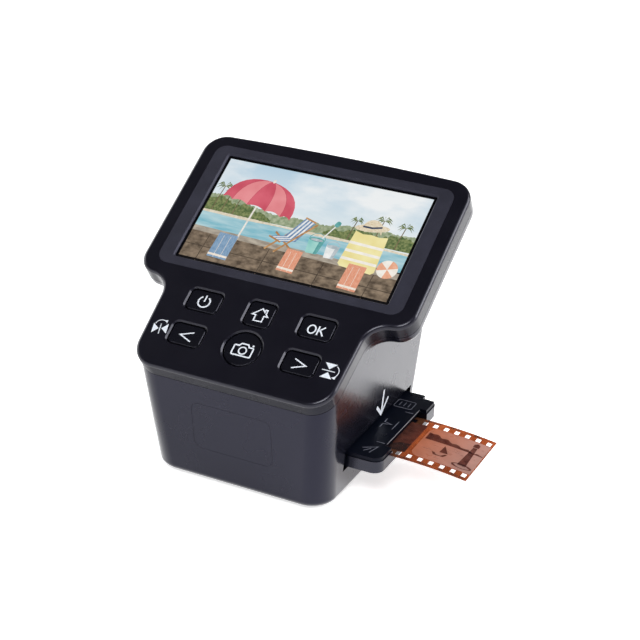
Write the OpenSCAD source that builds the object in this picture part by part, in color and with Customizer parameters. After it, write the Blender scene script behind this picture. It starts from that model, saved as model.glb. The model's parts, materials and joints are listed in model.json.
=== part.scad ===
/* [Head and screen] */
// Slope of the screen face, from level
panel_tilt = 33; // [30:1:36]
// Height of the screen centre above the table
screen_z = 96.3; // [94:0.1:104]
// Width of the head beside the display module, on each side
head_side = 9.5; // [9:0.25:11.5]
// Reach of the head above the screen centre, along the face
head_up = 38.2; // [37:0.1:44]
// Reach of the head below the screen centre, along the face
head_down = 37.4; // [37:0.1:38.4]
// Rise of the head's top edge, from its corners to its middle
head_crown = 1.3; // [0.6:0.1:2.4]
// Radius of the head's upper corners
head_r = 10; // [7:0.5:12]
// Radius of the head's lower corners
shoulder_r = 8.5; // [6.5:0.1:8.6]
// Radius of the hollow between the head and the key panel
neck_r = 9.5; // [7:0.1:9.6]
// Rise of the edge between that hollow and the lower corner
neck_rise = 2.2; // [1.8:0.1:3]
// Thickness of the whole head
head_t = 12.5; // [12:0.1:16]
// Round on the rear edge of the head
rear_round = 3.4; // [2:0.1:4]

/* [Front cover] */
// Reach of the key panel below the screen centre, along the face
key_reach = 79; // [78:0.5:84]
// Radius of the key panel's lower corners
key_r = 10.5; // [9:0.5:12]
// Depth of the cover from its face to the seam
cover_d = 7.2; // [6.8:0.1:8]
// Thickness of the cover's face
face_t = 2.4; // [2:0.1:2.6]
// Thickness of every other housing wall
wall = 2; // [1.6:0.1:2.4]
// Round on the front edge of the cover
front_round = 1.7; // [1:0.1:2]
// Height of the groove that shows as the seam
seam_gap = 0.3; // [0.2:0.05:0.5]
// Depth of that groove into the wall
seam_in = 0.8; // [0.4:0.1:1]

/* [Foot of the housing] */
// Width of the housing at the table
base_w = 79.2; // [77:0.2:80.4]
// Reach of the housing behind the screen centre, at the table
base_back = 34.6; // [33:0.1:40]
// Draft of both side walls, from upright
side_draft = 4.35; // [3:0.05:6]
// Lean of the front wall, from upright
front_lean = 8.75; // [6:0.25:10]
// Radius of the front corners, in plan
front_r = 11; // [8:0.5:13]
// Radius of the rear corners, in plan
back_r = 10; // [8:0.5:12]
// Round on the bottom edge
bottom_round = 3; // [2:0.1:4]
// Height of the rubber feet below the housing
foot_h = 1; // [0.8:0.1:2]
// Radius of a rubber foot
foot_r = 4.5; // [3.5:0.1:5]
// Thickness of the base plate
base_t = 2; // [1.8:0.1:2.4]

/* [Screen parts] */
// Width of the lit picture area
picture_w = 95.04; // [92:0.02:96]
// Height of the lit picture area
picture_h = 53.46; // [52:0.02:54]
// Width of the screen bezel
bezel_w = 110; // [108:0.5:112]
// Height of the screen bezel
bezel_h = 63.4; // [62:0.2:66]
// Outer corner radius of the bezel
bezel_r = 5; // [3:0.5:7]
// Thickness of the bezel
bezel_t = 1.2; // [0.9:0.1:1.4]
// Border of the bezel opening round the picture
bezel_gap = 0.6; // [0.3:0.1:1]
// Depth of the screen glass below the face
glass_in = 1.5; // [1.45:0.05:1.8]
// Width of the display module
lcd_w = 104; // [103:0.5:105]
// Height of the display module
lcd_h = 65; // [62:0.5:66]
// Thickness of the display module
lcd_t = 2.7; // [2.4:0.1:3]
// Thickness of the sheet frame behind the display
frame_t = 1; // [0.8:0.1:1.4]

/* [Keys] */
// Distance of the outer keys from the middle line
key_u = 25.2; // [24.5:0.1:27]
// Distance of the upper key row below the screen centre
key_v1 = 45.1; // [44.8:0.1:46]
// Distance of the lower key row below the screen centre
key_v2 = 61.8; // [61:0.1:63]
// Width of a rectangular key cap
key_w = 14.1; // [12:0.1:14.6]
// Height of a rectangular key cap
key_h = 9.6; // [8.5:0.1:10.5]
// Size of the square home key cap
home_s = 11.3; // [10:0.1:11.6]
// Radius of the round capture key cap
shot_r = 7.7; // [6.5:0.1:7.9]
// Corner radius of a rectangular key cap
cap_r = 2; // [1:0.1:3]
// Gap round a key cap
key_gap = 0.4; // [0.3:0.05:0.5]
// Width and depth of the bevel round a key opening
key_bevel = 0.6; // [0.3:0.1:0.7]
// Depth of a key cap below the face
key_in = 0.5; // [0.3:0.1:0.8]
// Travel of a key
key_travel = 0.7; // [0.4:0.1:0.8]

/* [Film tray] */
// Place of the tray's middle behind the screen centre
tray_y = -8.4; // [-10:0.1:-7]
// Width of the tray
tray_w = 60; // [58:0.5:62]
// Height of the slot's lower edge above the table
slot_z = 13.3; // [12.8:0.1:14]
// Height of the slot
slot_h = 9.9; // [9.4:0.1:11]
// Gap between the tray and each end of the slot
slot_gap = 2.7; // [1.5:0.1:4]
// Reach of the tray's outer end from the middle plane
tray_out = 55.3; // [52:0.1:60]
// Length of the tray
tray_len = 95.9; // [92:0.1:100]
// Gap between the slot's lower edge and the tray
tray_lift = 1.3; // [1.1:0.1:1.6]
// Thickness of the tray base
tray_t = 5; // [4.6:0.1:5.4]
// Thickness of the tray lid
lid_t = 1.6; // [1.2:0.1:1.8]
// Radius of the tray's outer corners
tray_r = 4.5; // [3:0.5:6]
// Width of the finger notch in the lid
notch_w = 36; // [30:0.5:40]
// Depth of the finger notch in the lid
notch_d = 3.3; // [2:0.1:6]

/* [Film] */
// Width of the film strip
film_w = 35; // [34.9:0.1:35.1]
// Thickness of the film strip
film_t = 0.15; // [0.12:0.01:0.2]
// Length of the film strip
film_len = 114; // [104:1:118]
// Reach of the strip's free end from the middle plane
film_out = 87; // [84:1:92]
// Radius that the free end curls down by
film_curl = 220; // [180:10:400]
// Pitch of the film's sprocket holes
perf_pitch = 4.75; // [4.7:0.01:4.8]
// Length of a sprocket hole along the film
perf_l = 1.98; // [1.8:0.01:2.1]
// Width of a sprocket hole across the film
perf_w = 2.8; // [2.6:0.01:2.9]
// Margin between the film's edge and its sprocket holes
perf_edge = 2.01; // [1.9:0.01:2.2]
// Length of the picture window
gate_l = 37; // [36:0.1:38]
// Width of the picture window
gate_w = 25; // [24:0.1:25]

/* [Front plate] */
// Width of the bare plate on the front wall
badge_w = 35.4; // [30:0.1:40]
// Height of that plate
badge_h = 22; // [18:0.1:24]
// Distance of the plate's middle above the table
badge_z = 27.8; // [26:0.1:30]
// Thickness of that plate
badge_t = 0.8; // [0.6:0.1:1]
// Corner radius of that plate
badge_r = 3.5; // [1:0.1:5]

/* [Hidden] */

$fn = 48;
arc_steps = 14;
round_steps = [0, 18, 36, 54, 72, 90];
cut = 1;
fit = 0.1;
apart = 0.3;

// The screen face: local X across, Y up the slope, Z out of the face
sin_t = sin(panel_tilt);
cos_t = cos(panel_tilt);
draft_k = tan(side_draft);
head_w = lcd_w + 2 * head_side;

// The point where the seam meets the front wall
seam_y = -key_reach * cos_t + cover_d * sin_t;
seam_z = screen_z - key_reach * sin_t - cover_d * cos_t;

// The line where the rear wall leaves the head
back_rise = 0.8;
back_v = head_up - rear_round + back_rise;
back_top_y = back_v * cos_t + head_t * sin_t;
back_top_z = screen_z + back_v * sin_t - head_t * cos_t;
back_lean = atan((back_top_y - base_back) / (back_top_z - foot_h));
top_r = 8;
tuck = 6;
slab_ease = 1.6;
slab_r = rear_round + slab_ease;
lap = 0.03;
plate_step = 1.4;
plate_in = bottom_round + plate_step;

// Middle of the whole object's bounding box, seen from above
y_min = -(key_reach - front_round) * cos_t + front_round * sin_t - front_round;
y_max = (head_up - rear_round) * cos_t + (head_t - rear_round) * sin_t + rear_round;
mid_x = (film_out - head_w / 2) / 2;
mid_y = (y_min + y_max) / 2;

// Screws and posts inside the head
post_r = 2.8;
post_u = lcd_w / 2 + post_r + apart;
post_v = head_up - head_r + apart;
screw_r = 1.1;
screw_head_r = 2.3;
screw_head_t = 1.4;
screw_bite = 4;
screw_tip = 0.4;
cross_l = 2.4;
cross_w = 0.5;
cross_t = 0.7;
sink_r = screw_head_r + apart;
sink_d = 2.6;
sink_wall = 1.2;
ear_r = 2;
ear_gap = 0.8;
ear_u = lcd_w / 2 + ear_r + ear_gap;
ear_v = 12;
ear_hole_r = 0.8;

// Screen stack, as depths below the face
window_r = 0.8;
glass_lap = 1.3;
glass_w = picture_w + 2 * glass_lap;
glass_h = picture_h + 2 * glass_lap;
lcd_d = face_t;
frame_d = lcd_d + lcd_t;
frame_in = 0.5;
frame_tab = 2;
frame_rib = 10;
frame_spine = 36;
frame_band = 17.5;
frame_hole = [(lcd_w - frame_spine) / 2 - frame_rib, lcd_h - 2 * frame_band];
frame_hole_r = 3;

// Key stack, as depths below the face
flange_w = 1.2;
flange_t = 0.8;
flange_d = face_t + apart;
plunger_r = 1.5;
cap_ease = 0.8;
flare_over = 0.4;
plunger_t = 0.7;
plunger_d = flange_d + flange_t + plunger_t;
switch_s = 6;
switch_t = 2.3;
stem_r = 1.6;
stem_t = 0.9;
stem_d = plunger_d + key_travel + fit;
key_board_d = stem_d + stem_t + switch_t;
key_board_t = 1.6;
key_board_u = 40;
key_board_r = 6;
key_board_up = 40.8;
key_board_gap = 2;
key_board_down = key_reach - wall - key_board_gap;
key_post_r = 1.8;
key_post_edge = 0.4;
key_post_u = key_board_u - key_post_r - key_post_edge;
key_post_drops = [0.9, 8.2];
key_post_v = [key_v1, key_v2] + key_post_drops;
rect_keys = [[-key_u, -key_v1], [key_u, -key_v1], [-key_u, -key_v2], [key_u, -key_v2]];
home_at = [0, -key_v1];
shot_at = [0, -key_v2];
key_spots = concat(rect_keys, [home_at, shot_at]);

// Heights inside the foot
base_top = foot_h + base_t;
tray_z = slot_z + tray_lift;
deck_top = tray_z - apart;
deck_t = 2;
box_top = deck_top - deck_t;
lid_z = tray_z + tray_t;
lid_top = lid_z + lid_t;
lid_room = 2.2;
upper_z = lid_top + lid_room;
upper_t = 2;
upper_top = upper_z + upper_t;

// Light box under the film
box_l = 58;
box_w = 44;
box_wall = 1.5;
led_board_t = 1.6;
led_s = 3;
led_t = 1;
led_pitch = 12;
led_cols = 4;
led_rows = 3;
diffuser_t = 2;

// Gates and rails that guide the tray
rail_t = 3;
rail_y = tray_w / 2 + apart;
detent_l = 14;
detent_h = 3;
detent_z = tray_z + 1;
leaf_t = 0.3;
nose_w = 1;
mask_w = 2;
gate_gap = 0.6;
gate_len = 2 * (base_w / 2 + draft_k * slot_z - wall - gate_gap);

// Camera tower above the film
tower_s = 30;
tower_wall = 2;
tower_top = 62;
tower_foot = 3;
web_z = 44;
web_t = 4;
barrel_r = 8;
barrel_z = 38;
barrel_h = 17;
barrel_wall = 1.2;
collar = 1.5;
lens_r = barrel_r - barrel_wall;
lens_t = 3;
lens_bulge = 22;
lens_step = 1.2;
sensor_board_s = 32;
sensor_board_t = 1.6;
sensor_s = 12;
sensor_t = 1.2;
port_s = 20;

// Main board behind the tower
board_w = 70;
board_t = 1.6;
board_z = 34;
board_gap = 3;
board_back_gap = 1.4;
board_front = tray_y + tower_s / 2 + board_gap;
board_back = base_back - wall - board_back_gap;
board_top = board_z + board_t;
board_post_r = 2;
board_post_in = 4;
board_post_x = board_w / 2 - board_post_in;
processor = [12, 10, 1.4];
memory = [8, 9, 1.1];
regulator = [3.5, 6, 1.8];
chip_x = 4;
chip_gap = 5;
chip_edge = 0.5;
chip_rows = [4, 3, 2];
usb = [9, 7.4, 3.2];
hdmi = [11.2, 7.6, 3.2];
sd = [25, 22, 2.9];
usb_x = 25;
hdmi_x = 9;
sd_x = -17;
socket_out = 1.2;
socket_gap = 0.4;
shell_t = 0.4;
shell_back = 1;

// Ribbons
ribbon_t = 0.3;
ribbon_w = 10;
display_ribbon_x = 24;
sensor_ribbon_x = -8;
sensor_ribbon_w = 10;
ribbon_in = 1;
ribbon_up = 2;
ribbon_turn = 6;
display_ribbon_rise = 6;
display_ribbon_bow = 3;
sensor_ribbon_rise = 8;
sensor_ribbon_bow = 1.5;

// Feet and base screws, in plan
foot_edge = 1.4;
foot_x = base_w / 2 - plate_in - foot_r - foot_edge;
foot_front = front_y(foot_h) + plate_in + foot_r + foot_edge;
foot_back = base_back - plate_in - foot_r - foot_edge;
foot_sink = 0.6;
base_screw_edge = 0.7;
base_screw_x = base_w / 2 - plate_in - screw_head_r - base_screw_edge;
base_screw_in = [10, 8];
base_screw_ys = [foot_front + base_screw_in[0], foot_back - base_screw_in[1]];
boss_r = 3;
boss_h = 8;
boss_cap = 1;
boss_rib = 2;

// Tray details
film_play = 0.3;
channel_w = film_w + 2 * film_play;
floor_t = 2.4;
floor_z = tray_z + floor_t;
film_z = floor_z + fit;
land_gap = 0.6;
land_in = [3, 1];
rim_t = 2.6;
rim_in = 6;
pin_fit = 0.02;
lid_in = 0.4;
lid_w = tray_w - rim_t - 2 * lid_in;
lid_y = tray_y - rim_t / 2;
tray_in = tray_out - tray_len;
hinge_r = 0.6;
knuckle_len = 6;
pin_grip = 3;
knuckle_root = 1;
hinge_in = [12, 18];
hinge_xs = [tray_in + hinge_in[0], tray_out - hinge_in[1]];
perf_n = floor(film_len / perf_pitch) - 1;
perf_start = 0.45;
perf_cut = 12;
film_flat = tray_out;

function side_x(z) = base_w / 2 + draft_k * z;
function front_y(z) = seam_y + tan(front_lean) * (seam_z - z);
function back_y(z) = base_back + tan(back_lean) * (z - foot_h);
function flank(v, d) = side_x(screen_z + v * sin_t - d * cos_t);
function unit(p) = p / norm(p);

// One rounded corner at b, between a and c
function corner_arc(a, b, c, r) =
    let (p = unit(a - b), q = unit(c - b), half = acos(p * q) / 2)
    let (m = b + unit(p + q) * r / sin(half), s = b + p * r / tan(half), e = b + q * r / tan(half))
    let (from = atan2(s.y - m.y, s.x - m.x), turn = atan2(e.y - m.y, e.x - m.x) - from)
    let (sweep = turn - 360 * round(turn / 360))
    [for (i = [0:arc_steps]) m + r * [cos(from + sweep * i / arc_steps), sin(from + sweep * i / arc_steps)]];

// A closed outline of corners [x, y, radius]
function rounded(corners) =
    let (n = len(corners))
    [for (i = [0:n - 1])
        let (a = corners[(i + n - 1) % n], b = corners[i], c = corners[(i + 1) % n])
        each corner_arc([a.x, a.y], [b.x, b.y], [c.x, c.y], b.z)];

// Outline of the whole face at depth d, down to low_v, inset from its outer edge
function face_outline(inset, d, low_v, low_r) =
    let (w = head_w / 2, low = flank(low_v, d) - inset, high = flank(-head_down, d) - inset)
    let (shoulder_v = -head_down + neck_rise / 2 + inset, hollow_v = -head_down - neck_rise / 2 + inset)
    let (run = w - head_r, slope = head_crown / (w - run / 2), top_v = head_up - head_crown - inset)
    rounded([
        [-low, low_v + inset, low_r - inset],
        [low, low_v + inset, low_r - inset],
        [high, hollow_v, neck_r + inset],
        [w - inset, shoulder_v, shoulder_r - inset],
        [w - inset, top_v + slope * inset, head_r - inset],
        [0, top_v + slope * w, run / slope - inset],
        [-w + inset, top_v + slope * inset, head_r - inset],
        [-w + inset, shoulder_v, shoulder_r - inset],
        [-high, hollow_v, neck_r + inset]]);

// Outline of the foot in plan at height z, inset from its outer edge
function foot_outline(inset, z) =
    let (x = side_x(z) - inset, front = front_y(z) + inset, back = back_y(z) - inset)
    rounded([
        [-x, front, front_r - inset],
        [x, front, front_r - inset],
        [x, back, back_r - inset],
        [-x, back, back_r - inset]]);

function rect_outline(w, h, r) =
    rounded([[-w / 2, -h / 2, r], [w / 2, -h / 2, r], [w / 2, h / 2, r], [-w / 2, h / 2, r]]);

// An outline in the face's own frame: at depth d, or level at height z
function at_depth(outline, d) = [for (p = outline) [p.x, p.y, -d]];
function at_height(outline, z) =
    [for (p = outline)
        [p.x, p.y * cos_t + (z - screen_z) * sin_t, (z - screen_z) * cos_t - p.y * sin_t]];

// Triangles across a ring whose left half mirrors its right half
function lid_faces(n) =
    let (pair = 2 * arc_steps + 1)
    [for (j = [arc_steps + 1:arc_steps + floor(n / 2)])
        let (a = (pair - j + n) % n, b = (pair - j - 1 + n) % n)
        each (b == j + 1 ? [[j, j + 1, a]] : [[j, j + 1, a], [j + 1, b, a]])];

// Triangles that join ring i of n points to the next one below
function belt(i, n) =
    [for (j = [0:n - 1])
        let (a = i * n + j, b = i * n + (j + 1) % n)
        each [[a, b, b + n], [a, b + n, a + n]]];

module home() {
    translate([-mid_x, -mid_y, 0])
        children();
}

module tilted() {
    translate([0, 0, screen_z])
        rotate([panel_tilt, 0, 0])
            children();
}

module on_face() {
    home()
        tilted()
            children();
}

module both_sides() {
    children();
    mirror([1, 0, 0])
        children();
}

// Material between two depths below the face
module below(d0, d1) {
    translate([0, 0, -d1])
        linear_extrude(d1 - d0)
            children();
}

// A solid through closed rings of equal length, the uppermost first
module loft(rings) {
    n = len(rings[0]);
    m = len(rings);
    polyhedron(
        [for (ring = rings) each ring],
        concat(
            [for (t = lid_faces(n)) [t[2], t[1], t[0]]],
            [for (i = [0:m - 2]) each belt(i, n)],
            [for (t = lid_faces(n)) t + (m - 1) * n * [1, 1, 1]]));
}

module rounded_rect(w, h, r) {
    square([w - 2 * r, h], center = true);
    square([w, h - 2 * r], center = true);
    for (x = [-1, 1], y = [-1, 1])
        translate([x * (w / 2 - r), y * (h / 2 - r)])
            circle(r);
}

module box(x, y, z) {
    translate([x[0], y[0], z[0]])
        cube([x[1] - x[0], y[1] - y[0], z[1] - z[0]]);
}

module post(x, y, z0, z1, r) {
    translate([x, y, z0])
        cylinder(h = z1 - z0, r = r);
}

// The cover's outline at depth d, down to the lower edge of the key panel
function cover_outline(inset, d) = face_outline(inset, d, -key_reach, key_r);

// Solid of the cover before it is hollowed
module cover_block() {
    loft(concat(
        [for (a = round_steps)
            let (d = front_round * (1 - cos(a)))
            at_depth(cover_outline(front_round * (1 - sin(a)), d), d)],
        [at_depth(cover_outline(0, cover_d - seam_gap), cover_d - seam_gap)]));
    below(face_t, cover_d)
        polygon(cover_outline(seam_in, cover_d));
}

// Through opening of a key, wider at the face
module key_opening(w, h, r) {
    flare = key_bevel + flare_over;
    loft([
        at_depth(rect_outline(w + 2 * flare, h + 2 * flare, r + flare), key_bevel - flare),
        at_depth(rect_outline(w, h, r), key_bevel),
        at_depth(rect_outline(w, h, r), face_t + cut)]);
}

module front_cover() {
    open_w = key_w + 2 * key_gap;
    open_h = key_h + 2 * key_gap;
    color("#17171f")
        on_face()
            difference() {
                union() {
                    difference() {
                        cover_block();
                        below(face_t, cover_d + cut)
                            polygon(cover_outline(wall, cover_d));
                    }
                    for (u = [-post_u, post_u], v = [-post_v, post_v])
                        translate([u, v])
                            below(face_t - fit, cover_d)
                                circle(post_r);
                    for (u = [-ear_u, ear_u], v = [-ear_v, ear_v])
                        translate([u, v])
                            below(face_t - fit, frame_d)
                                circle(ear_r);
                    for (u = [-key_post_u, key_post_u], v = key_post_v)
                        translate([u, -v])
                            below(face_t - fit, key_board_d)
                                circle(key_post_r);
                }
                below(-cut, bezel_t)
                    rounded_rect(bezel_w + 2 * fit, bezel_h + 2 * fit, bezel_r + fit);
                below(0, face_t + cut)
                    square([glass_w + 2 * apart, glass_h + 2 * apart], center = true);
                for (at = rect_keys)
                    translate(at)
                        key_opening(open_w, open_h, cap_r + key_gap);
                translate(home_at)
                    key_opening(home_s + 2 * key_gap, home_s + 2 * key_gap, cap_r + key_gap);
                translate(shot_at) {
                    below(-cut, face_t + cut)
                        circle(shot_r + key_gap);
                    translate([0, 0, -key_bevel])
                        cylinder(h = 2 * key_bevel, r1 = shot_r + key_gap,
                                 r2 = shot_r + key_gap + 2 * key_bevel);
                }
                for (u = [-post_u, post_u], v = [-post_v, post_v])
                    translate([u, v])
                        below(cover_d - screw_bite - screw_tip, cover_d + cut)
                            circle(screw_r + fit / 2);
            }
}

// Outline of the foot at depth d, where the front wall and a rear edge at rear_v cut it
function foot_cut(inset, d, rear_v) =
    let (front_v = -key_reach - (d - cover_d) * tan(panel_tilt - front_lean))
    rounded([
        [-flank(front_v, d) + inset, front_v + inset, key_r - inset],
        [flank(front_v, d) - inset, front_v + inset, key_r - inset],
        [flank(rear_v, d) - inset, rear_v - inset, top_r - inset],
        [-flank(rear_v, d) + inset, rear_v - inset, top_r - inset]]);

// The foot, from the seam down to its rounded bottom edge
module foot_block() {
    loft(concat(
        [at_depth(foot_cut(0, cover_d, back_v - tuck), cover_d),
         at_depth(foot_cut(0, head_t - lap, back_v), head_t - lap)],
        [for (a = round_steps)
            let (z = foot_h + bottom_round * (1 - sin(a)))
            at_height(foot_outline(bottom_round * (1 - cos(a)), z), z)]));
}

module foot_cavity() {
    loft([
        at_depth(foot_cut(wall, cover_d - cut, back_v - tuck), cover_d - cut),
        at_depth(foot_cut(wall, head_t - wall - lap, back_v), head_t - wall - lap),
        at_height(foot_outline(wall, base_top), base_top)]);
    loft([
        at_height(foot_outline(plate_in, foot_h), base_top + lap),
        at_height(foot_outline(plate_in, foot_h), foot_h - cut)]);
}

// Rear half of the head, down past the hollow of the neck
module head_slab() {
    loft(concat(
        [at_depth(slab_outline(lap, cover_d), cover_d)],
        [for (a = round_steps)
            let (d = head_t - rear_round * (1 - sin(a)))
            at_depth(slab_outline(lap + rear_round * (1 - cos(a)), d), d)]));
}

module head_cavity() {
    below(cover_d - cut, head_t - wall)
        polygon(slab_outline(wall + lap, head_t));
}

function slab_outline(inset, d) = face_outline(inset, d, -head_down - 2 * neck_r, slab_r);

module screw_spots() {
    for (u = [-post_u, post_u], v = [-post_v, post_v])
        translate([u, v])
            children();
}

module wall_opening(x, size) {
    box([x - size.x / 2 - socket_gap, x + size.x / 2 + socket_gap],
        [base_back - 2.5 * wall, base_back + 4 * wall],
        [board_top - socket_gap, board_top + size.z + socket_gap]);
}

module rear_housing() {
    color("#2c2b31")
        home()
            difference() {
                union() {
                    difference() {
                        tilted() {
                            foot_block();
                            head_slab();
                        }
                        tilted() {
                            foot_cavity();
                            head_cavity();
                        }
                    }
                    tilted()
                        screw_spots()
                            below(cover_d, head_t - wall + fit)
                                circle(sink_r + sink_wall);
                    both_sides()
                        for (y = base_screw_ys) {
                            post(base_screw_x, y, base_top, base_top + boss_h, boss_r);
                            box([base_screw_x, side_x(0) - wall / 2], [y - boss_rib / 2, y + boss_rib / 2],
                                [base_top, base_top + boss_h]);
                        }
                }
                tilted()
                    screw_spots() {
                        below(head_t - sink_d, head_t + cut)
                            circle(sink_r);
                        below(cover_d - cut, head_t)
                            circle(screw_r + fit);
                    }
                base_screw_spots()
                    post(0, 0, base_top - cut, base_top + boss_h - boss_cap, screw_r + fit / 2);
                box([-base_w, base_w],
                    [tray_y - tray_w / 2 - slot_gap, tray_y + tray_w / 2 + slot_gap],
                    [slot_z, slot_z + slot_h]);
                wall_opening(usb_x, usb);
                wall_opening(hdmi_x, hdmi);
                wall_opening(sd_x, sd);
                on_front()
                    below(-cut, badge_t)
                        rounded_rect(badge_w + 2 * fit, badge_h + 2 * fit, badge_r + fit);
            }
}

// The front wall, local Z out of the wall, origin at the plate's middle
module on_front() {
    translate([0, front_y(badge_z), badge_z])
        rotate([90 + front_lean, 0, 0])
            children();
}

module badge_plate() {
    color("#2f2e35")
        home()
            on_front()
                below(0, badge_t)
                    rounded_rect(badge_w, badge_h, badge_r);
}

module foot_spots() {
    for (x = [-foot_x, foot_x], y = [foot_front, foot_back])
        translate([x, y, 0])
            children();
}

module base_screw_spots() {
    for (x = [-base_screw_x, base_screw_x], y = base_screw_ys)
        translate([x, y, 0])
            children();
}

module base_plate() {
    color("#222227")
        home()
            difference() {
                translate([0, 0, foot_h])
                    linear_extrude(base_t)
                        polygon(foot_outline(plate_in + fit, foot_h));
                foot_spots()
                    post(0, 0, 0, foot_h + foot_sink, foot_r + fit);
                base_screw_spots() {
                    post(0, 0, 0, foot_h + screw_head_t, screw_head_r + fit);
                    post(0, 0, 0, base_top + cut, screw_r + fit);
                }
            }
}

module rubber_feet() {
    color("#101012")
        home()
            foot_spots() {
                cylinder(h = foot_h + foot_sink, r = foot_r);
            }
}

// A cross-head screw with its head's outer face at z = 0, pointing up
module screw(length) {
    difference() {
        union() {
            cylinder(h = screw_head_t, r = screw_head_r);
            cylinder(h = length, r = screw_r);
        }
        for (a = [0, 90])
            rotate([0, 0, a])
                cube([cross_l, cross_w, 2 * cross_t], center = true);
    }
}

module base_screws() {
    color("#8a8c90")
        home()
            base_screw_spots()
                translate([0, 0, foot_h])
                    screw(base_t + boss_h - 2 * boss_cap);
}

module cover_screws() {
    color("#8a8c90")
        on_face()
            screw_spots()
                translate([0, 0, -(head_t - sink_d + screw_head_t)])
                    screw(head_t - sink_d + screw_head_t - cover_d + screw_bite);
}

module screen_bezel() {
    w = picture_w + 2 * bezel_gap;
    h = picture_h + 2 * bezel_gap;
    color("#34343c")
        on_face()
            difference() {
                below(0, bezel_t)
                    rounded_rect(bezel_w, bezel_h, bezel_r);
                loft([
                    at_depth(rect_outline(w + 2 * bezel_t, h + 2 * bezel_t, window_r + bezel_t),
                             -bezel_t / 2),
                    at_depth(rect_outline(w, h, window_r), bezel_t / 2),
                    at_depth(rect_outline(w, h, window_r), bezel_t + cut)]);
            }
}

module display_glass() {
    color("#9fc4d6")
        on_face()
            below(glass_in, face_t)
                square([glass_w, glass_h], center = true);
}

module lcd_panel() {
    color("#3a3d42")
        on_face()
            below(lcd_d, frame_d)
                square([lcd_w, lcd_h], center = true);
}

module lcd_frame() {
    color("#a9abae")
        on_face()
            difference() {
                below(frame_d, frame_d + frame_t) {
                    square([lcd_w - 2 * frame_in, lcd_h - 2 * frame_in], center = true);
                    for (u = [-ear_u, ear_u], v = [-ear_v, ear_v]) {
                        translate([u, v])
                            circle(ear_r);
                        translate([u - (u > 0 ? ear_r + frame_tab : 0), v - ear_r])
                            square([ear_r + frame_tab, 2 * ear_r]);
                    }
                }
                for (u = [-ear_u, ear_u], v = [-ear_v, ear_v])
                    translate([u, v])
                        below(frame_d - cut, frame_d + frame_t + cut)
                            circle(ear_hole_r);
                for (way = [-1, 1])
                    translate([way * (frame_spine + frame_hole.x) / 2, 0])
                        below(frame_d - cut, frame_d + frame_t + cut)
                            rounded_rect(frame_hole.x, frame_hole.y, frame_hole_r);
            }
}

// A rectangular key: cap with eased edge, flange and plunger
module rect_key(at, w, h) {
    translate(at) {
        loft([
            at_depth(rect_outline(w - cap_ease, h - cap_ease, cap_r - cap_ease / 2), key_in),
            at_depth(rect_outline(w, h, cap_r), key_in + cap_ease / 2),
            at_depth(rect_outline(w, h, cap_r), flange_d + flange_t / 2)]);
        below(flange_d, flange_d + flange_t)
            rounded_rect(w + 2 * flange_w, h + 2 * flange_w, cap_r + flange_w);
        below(flange_d, plunger_d)
            circle(plunger_r);
    }
}

module power_button() {
    color("#121218")
        on_face()
            rect_key([-key_u, -key_v1], key_w, key_h);
}

module ok_button() {
    color("#121218")
        on_face()
            rect_key([key_u, -key_v1], key_w, key_h);
}

module left_button() {
    color("#121218")
        on_face()
            rect_key([-key_u, -key_v2], key_w, key_h);
}

module right_button() {
    color("#121218")
        on_face()
            rect_key([key_u, -key_v2], key_w, key_h);
}

module home_button() {
    color("#121218")
        on_face()
            rect_key(home_at, home_s, home_s);
}

module capture_button() {
    color("#121218")
        on_face()
            translate(shot_at) {
                translate([0, 0, -key_in - cap_ease / 2])
                    cylinder(h = cap_ease / 2, r1 = shot_r, r2 = shot_r - cap_ease / 2);
                below(key_in + cap_ease / 2, flange_d)
                    circle(shot_r);
                below(flange_d, flange_d + flange_t)
                    circle(shot_r + flange_w);
                below(flange_d, plunger_d)
                    circle(plunger_r);
            }
}

module key_board() {
    h = key_board_down - key_board_up;
    color("#1f5b3a")
        on_face()
            translate([0, -(key_board_up + key_board_down) / 2])
                below(key_board_d, key_board_d + key_board_t)
                    rounded_rect(2 * key_board_u, h, key_board_r);
}

module key_switches() {
    color("#c9c9c4")
        on_face()
            for (at = key_spots)
                translate(at) {
                    below(key_board_d - switch_t, key_board_d)
                        square(switch_s, center = true);
                    below(stem_d, key_board_d - switch_t)
                        circle(stem_r);
                }
}

module light_box() {
    color("#e6e6e2")
        home()
            translate([0, tray_y, 0])
                difference() {
                    box([-box_l / 2, box_l / 2], [-box_w / 2, box_w / 2], [base_top, box_top]);
                    box([-box_l / 2 + box_wall, box_l / 2 - box_wall],
                        [-box_w / 2 + box_wall, box_w / 2 - box_wall],
                        [base_top + box_wall, box_top - diffuser_t]);
                    box([-box_l / 2 + box_wall / 2, box_l / 2 - box_wall / 2],
                        [-box_w / 2 + box_wall / 2, box_w / 2 - box_wall / 2],
                        [box_top - diffuser_t, box_top + cut]);
                }
}

module diffuser_plate() {
    gap = box_wall / 2 + fit;
    color("#f4f4f0")
        home()
            translate([0, tray_y, 0])
                box([-box_l / 2 + gap, box_l / 2 - gap], [-box_w / 2 + gap, box_w / 2 - gap],
                    [box_top - diffuser_t, box_top]);
}

module backlight_board() {
    gap = box_wall + fit;
    color("#e9efe9")
        home()
            translate([0, tray_y, base_top + box_wall])
                box([-box_l / 2 + gap, box_l / 2 - gap], [-box_w / 2 + gap, box_w / 2 - gap],
                    [0, led_board_t]);
}

module backlight_leds() {
    color("#fff3b0")
        home()
            translate([0, tray_y, base_top + box_wall + led_board_t])
                for (i = [0:led_cols - 1], j = [0:led_rows - 1])
                    translate([(i - (led_cols - 1) / 2) * led_pitch,
                               (j - (led_rows - 1) / 2) * led_pitch, led_t / 2])
                        cube([led_s, led_s, led_t], center = true);
}

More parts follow.
